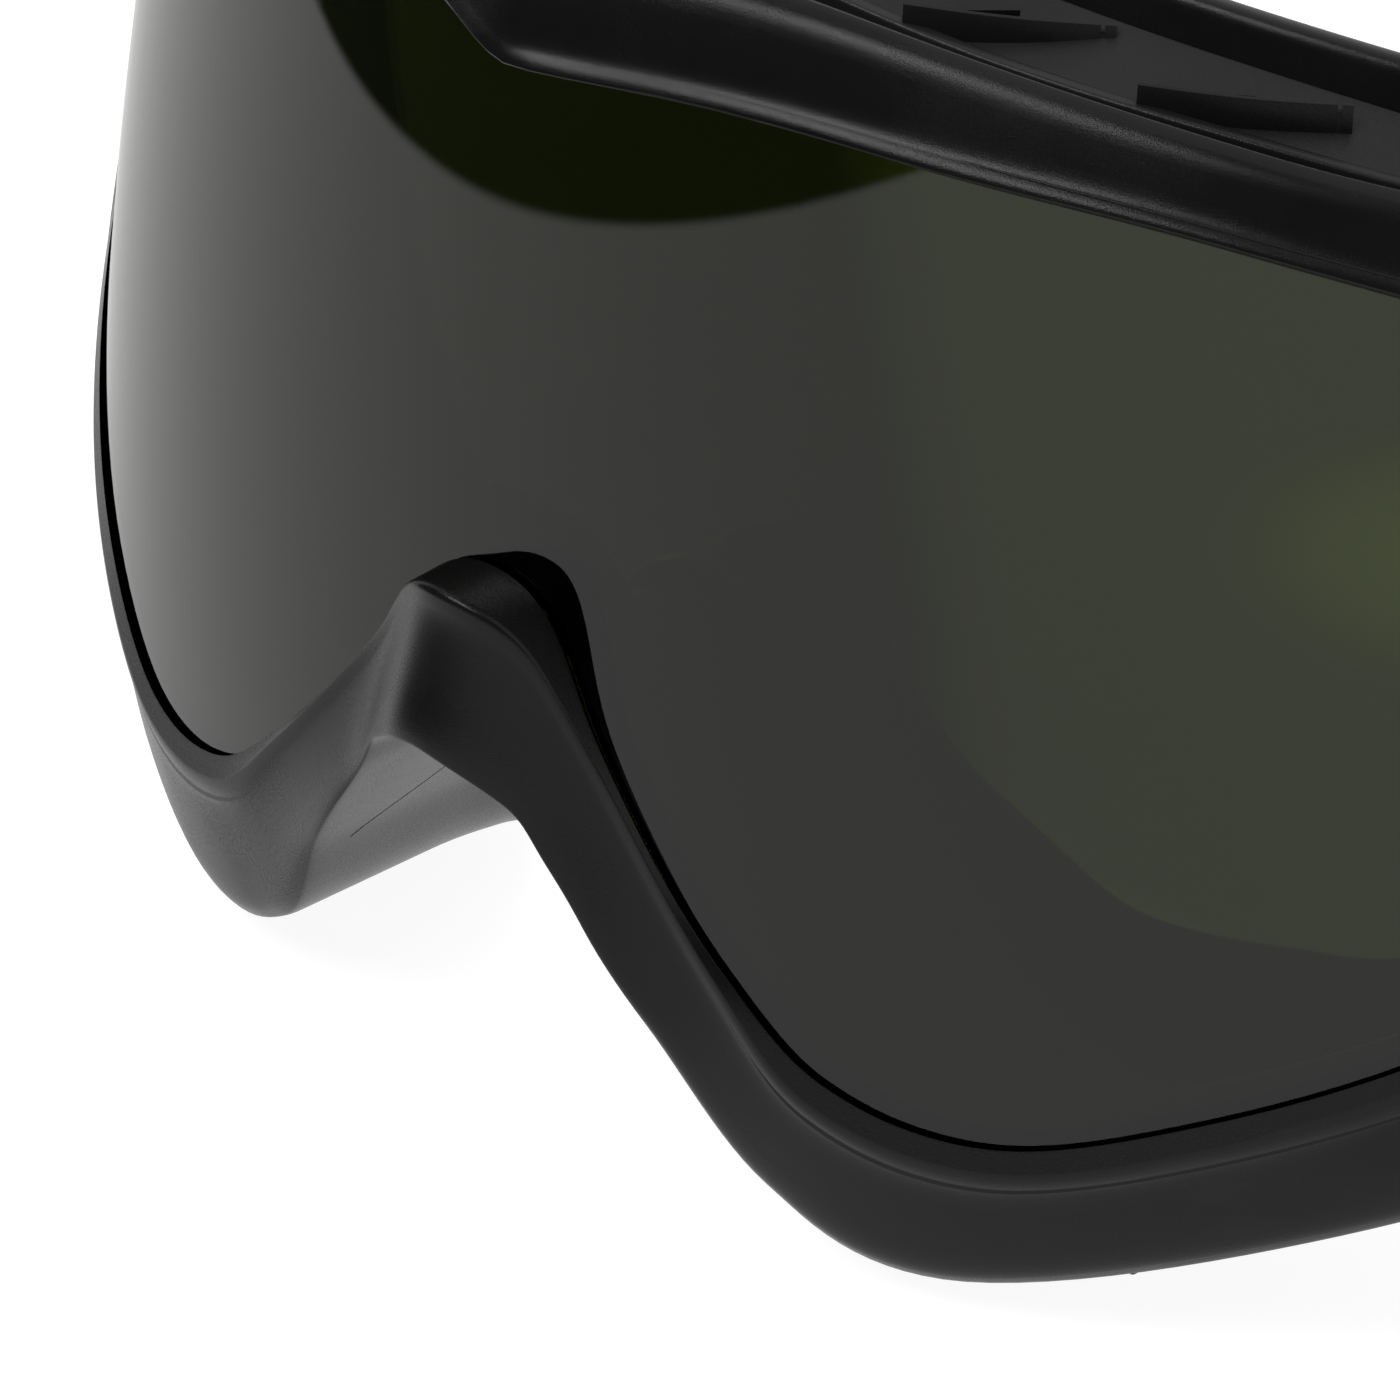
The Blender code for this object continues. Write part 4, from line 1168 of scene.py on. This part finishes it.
def make_light(name, at, target, size, power):
    data = bpy.data.lights.new(name, "AREA")
    data.shape = "RECTANGLE"
    data.size, data.size_y = size
    data.energy = power
    lamp = bpy.data.objects.new(name, data)
    bpy.context.scene.collection.objects.link(lamp)
    lamp.location = at
    lamp.rotation_euler = (Vector(target) - Vector(at)).to_track_quat("-Z", "Y").to_euler()
    lamp.visible_camera = False
    return lamp


def make_world():
    """A white tent that opens into a dark room in front: the dark part starts where the paper ends."""
    world = bpy.data.worlds.new("light_tent")
    bpy.context.scene.world = world
    world.use_nodes = True
    tree = world.node_tree
    tree.nodes.clear()

    def node(kind, **settings):
        made = tree.nodes.new("ShaderNode" + kind)
        for name, value in settings.items():
            setattr(made, name, value)
        return made

    def along_axis(direction):
        dot = node("VectorMath", operation="DOT_PRODUCT")
        tree.links.new(node("TexCoord").outputs["Generated"], dot.inputs[0])
        dot.inputs[1].default_value = Vector(direction).normalized()
        return dot.outputs["Value"]

    def ramp(value, start, end, low=0.0, high=1.0):
        made = node("MapRange", interpolation_type="SMOOTHSTEP")
        for socket, number in (("From Min", start), ("From Max", end), ("To Min", low), ("To Max", high)):
            made.inputs[socket].default_value = number
        tree.links.new(value, made.inputs["Value"])
        return made.outputs["Result"]

    def times(a, b):
        made = node("Math", operation="MULTIPLY")
        tree.links.new(a, made.inputs[0])
        tree.links.new(b, made.inputs[1])
        return made.outputs["Value"]

    above_paper = ramp(along_axis((-0.239, -0.021, 1.0)), -0.018, -0.008)
    in_front = ramp(along_axis((-0.25, -1.0, 0.0)), -0.15, 0.25)
    dark = times(above_paper, in_front)
    bright = ramp(dark, 0.0, 1.0, 1.0, 0.03)
    tent = node("Background")
    tree.links.new(bright, tent.inputs["Strength"])
    plain = node("Background")
    plain.inputs["Color"].default_value = (0.975, 0.975, 0.975, 1)
    seen = node("LightPath")
    either = node("MixShader")
    tree.links.new(seen.outputs["Is Camera Ray"], either.inputs["Fac"])
    tree.links.new(tent.outputs["Background"], either.inputs[1])
    tree.links.new(plain.outputs["Background"], either.inputs[2])
    out = node("OutputWorld")
    tree.links.new(either.outputs["Shader"], out.inputs["Surface"])


def build():
    black = moulded_black("satin_black")
    insert = moulded_black("insert_black", 0.006, 0.32)
    matt = moulded_black("matt_nylon_black", 0.012, 0.5, 5000, 0.00006)
    foam, steel, washer, sewing = vent_foam(), turned_steel(), nylon(), thread()
    make_camera()
    make_frame(black)
    make_lens(lens_filter())
    make_seal(soft_seal())
    make_strap(webbing(), sewing)
    for side, name in SIDES:
        make_louvre(side, name, insert)
        make_vent_foam(side, name, foam)
        make_baffle(side, name, foam)
        make_foot(side, name, black)
        make_pin(side, name, steel)
        make_washer(side, name, washer)
        make_clip(side, name, matt, "strap_and_left_clip" if side == 1 else "right_clip")
        make_adjuster(side, name, matt)
    make_floor(studio_floor())
    make_world()
    make_light("key_light", (-0.1, -1.2, 1.3), (0, 0.05, 0), (0.9, 0.6), 20).visible_glossy = False
    make_light("roof_light", (0.25, 0.55, 1.3), (0, 0, 0.05), (0.9, 0.5), 14).visible_glossy = False
    make_light("crest_light", (-0.3, -0.65, 1.25), (0, 0, 0.05), (1.0, 0.25), 7)
    settings = bpy.context.scene.view_settings
    settings.view_transform = "Standard"
    settings.look = "None"


build()
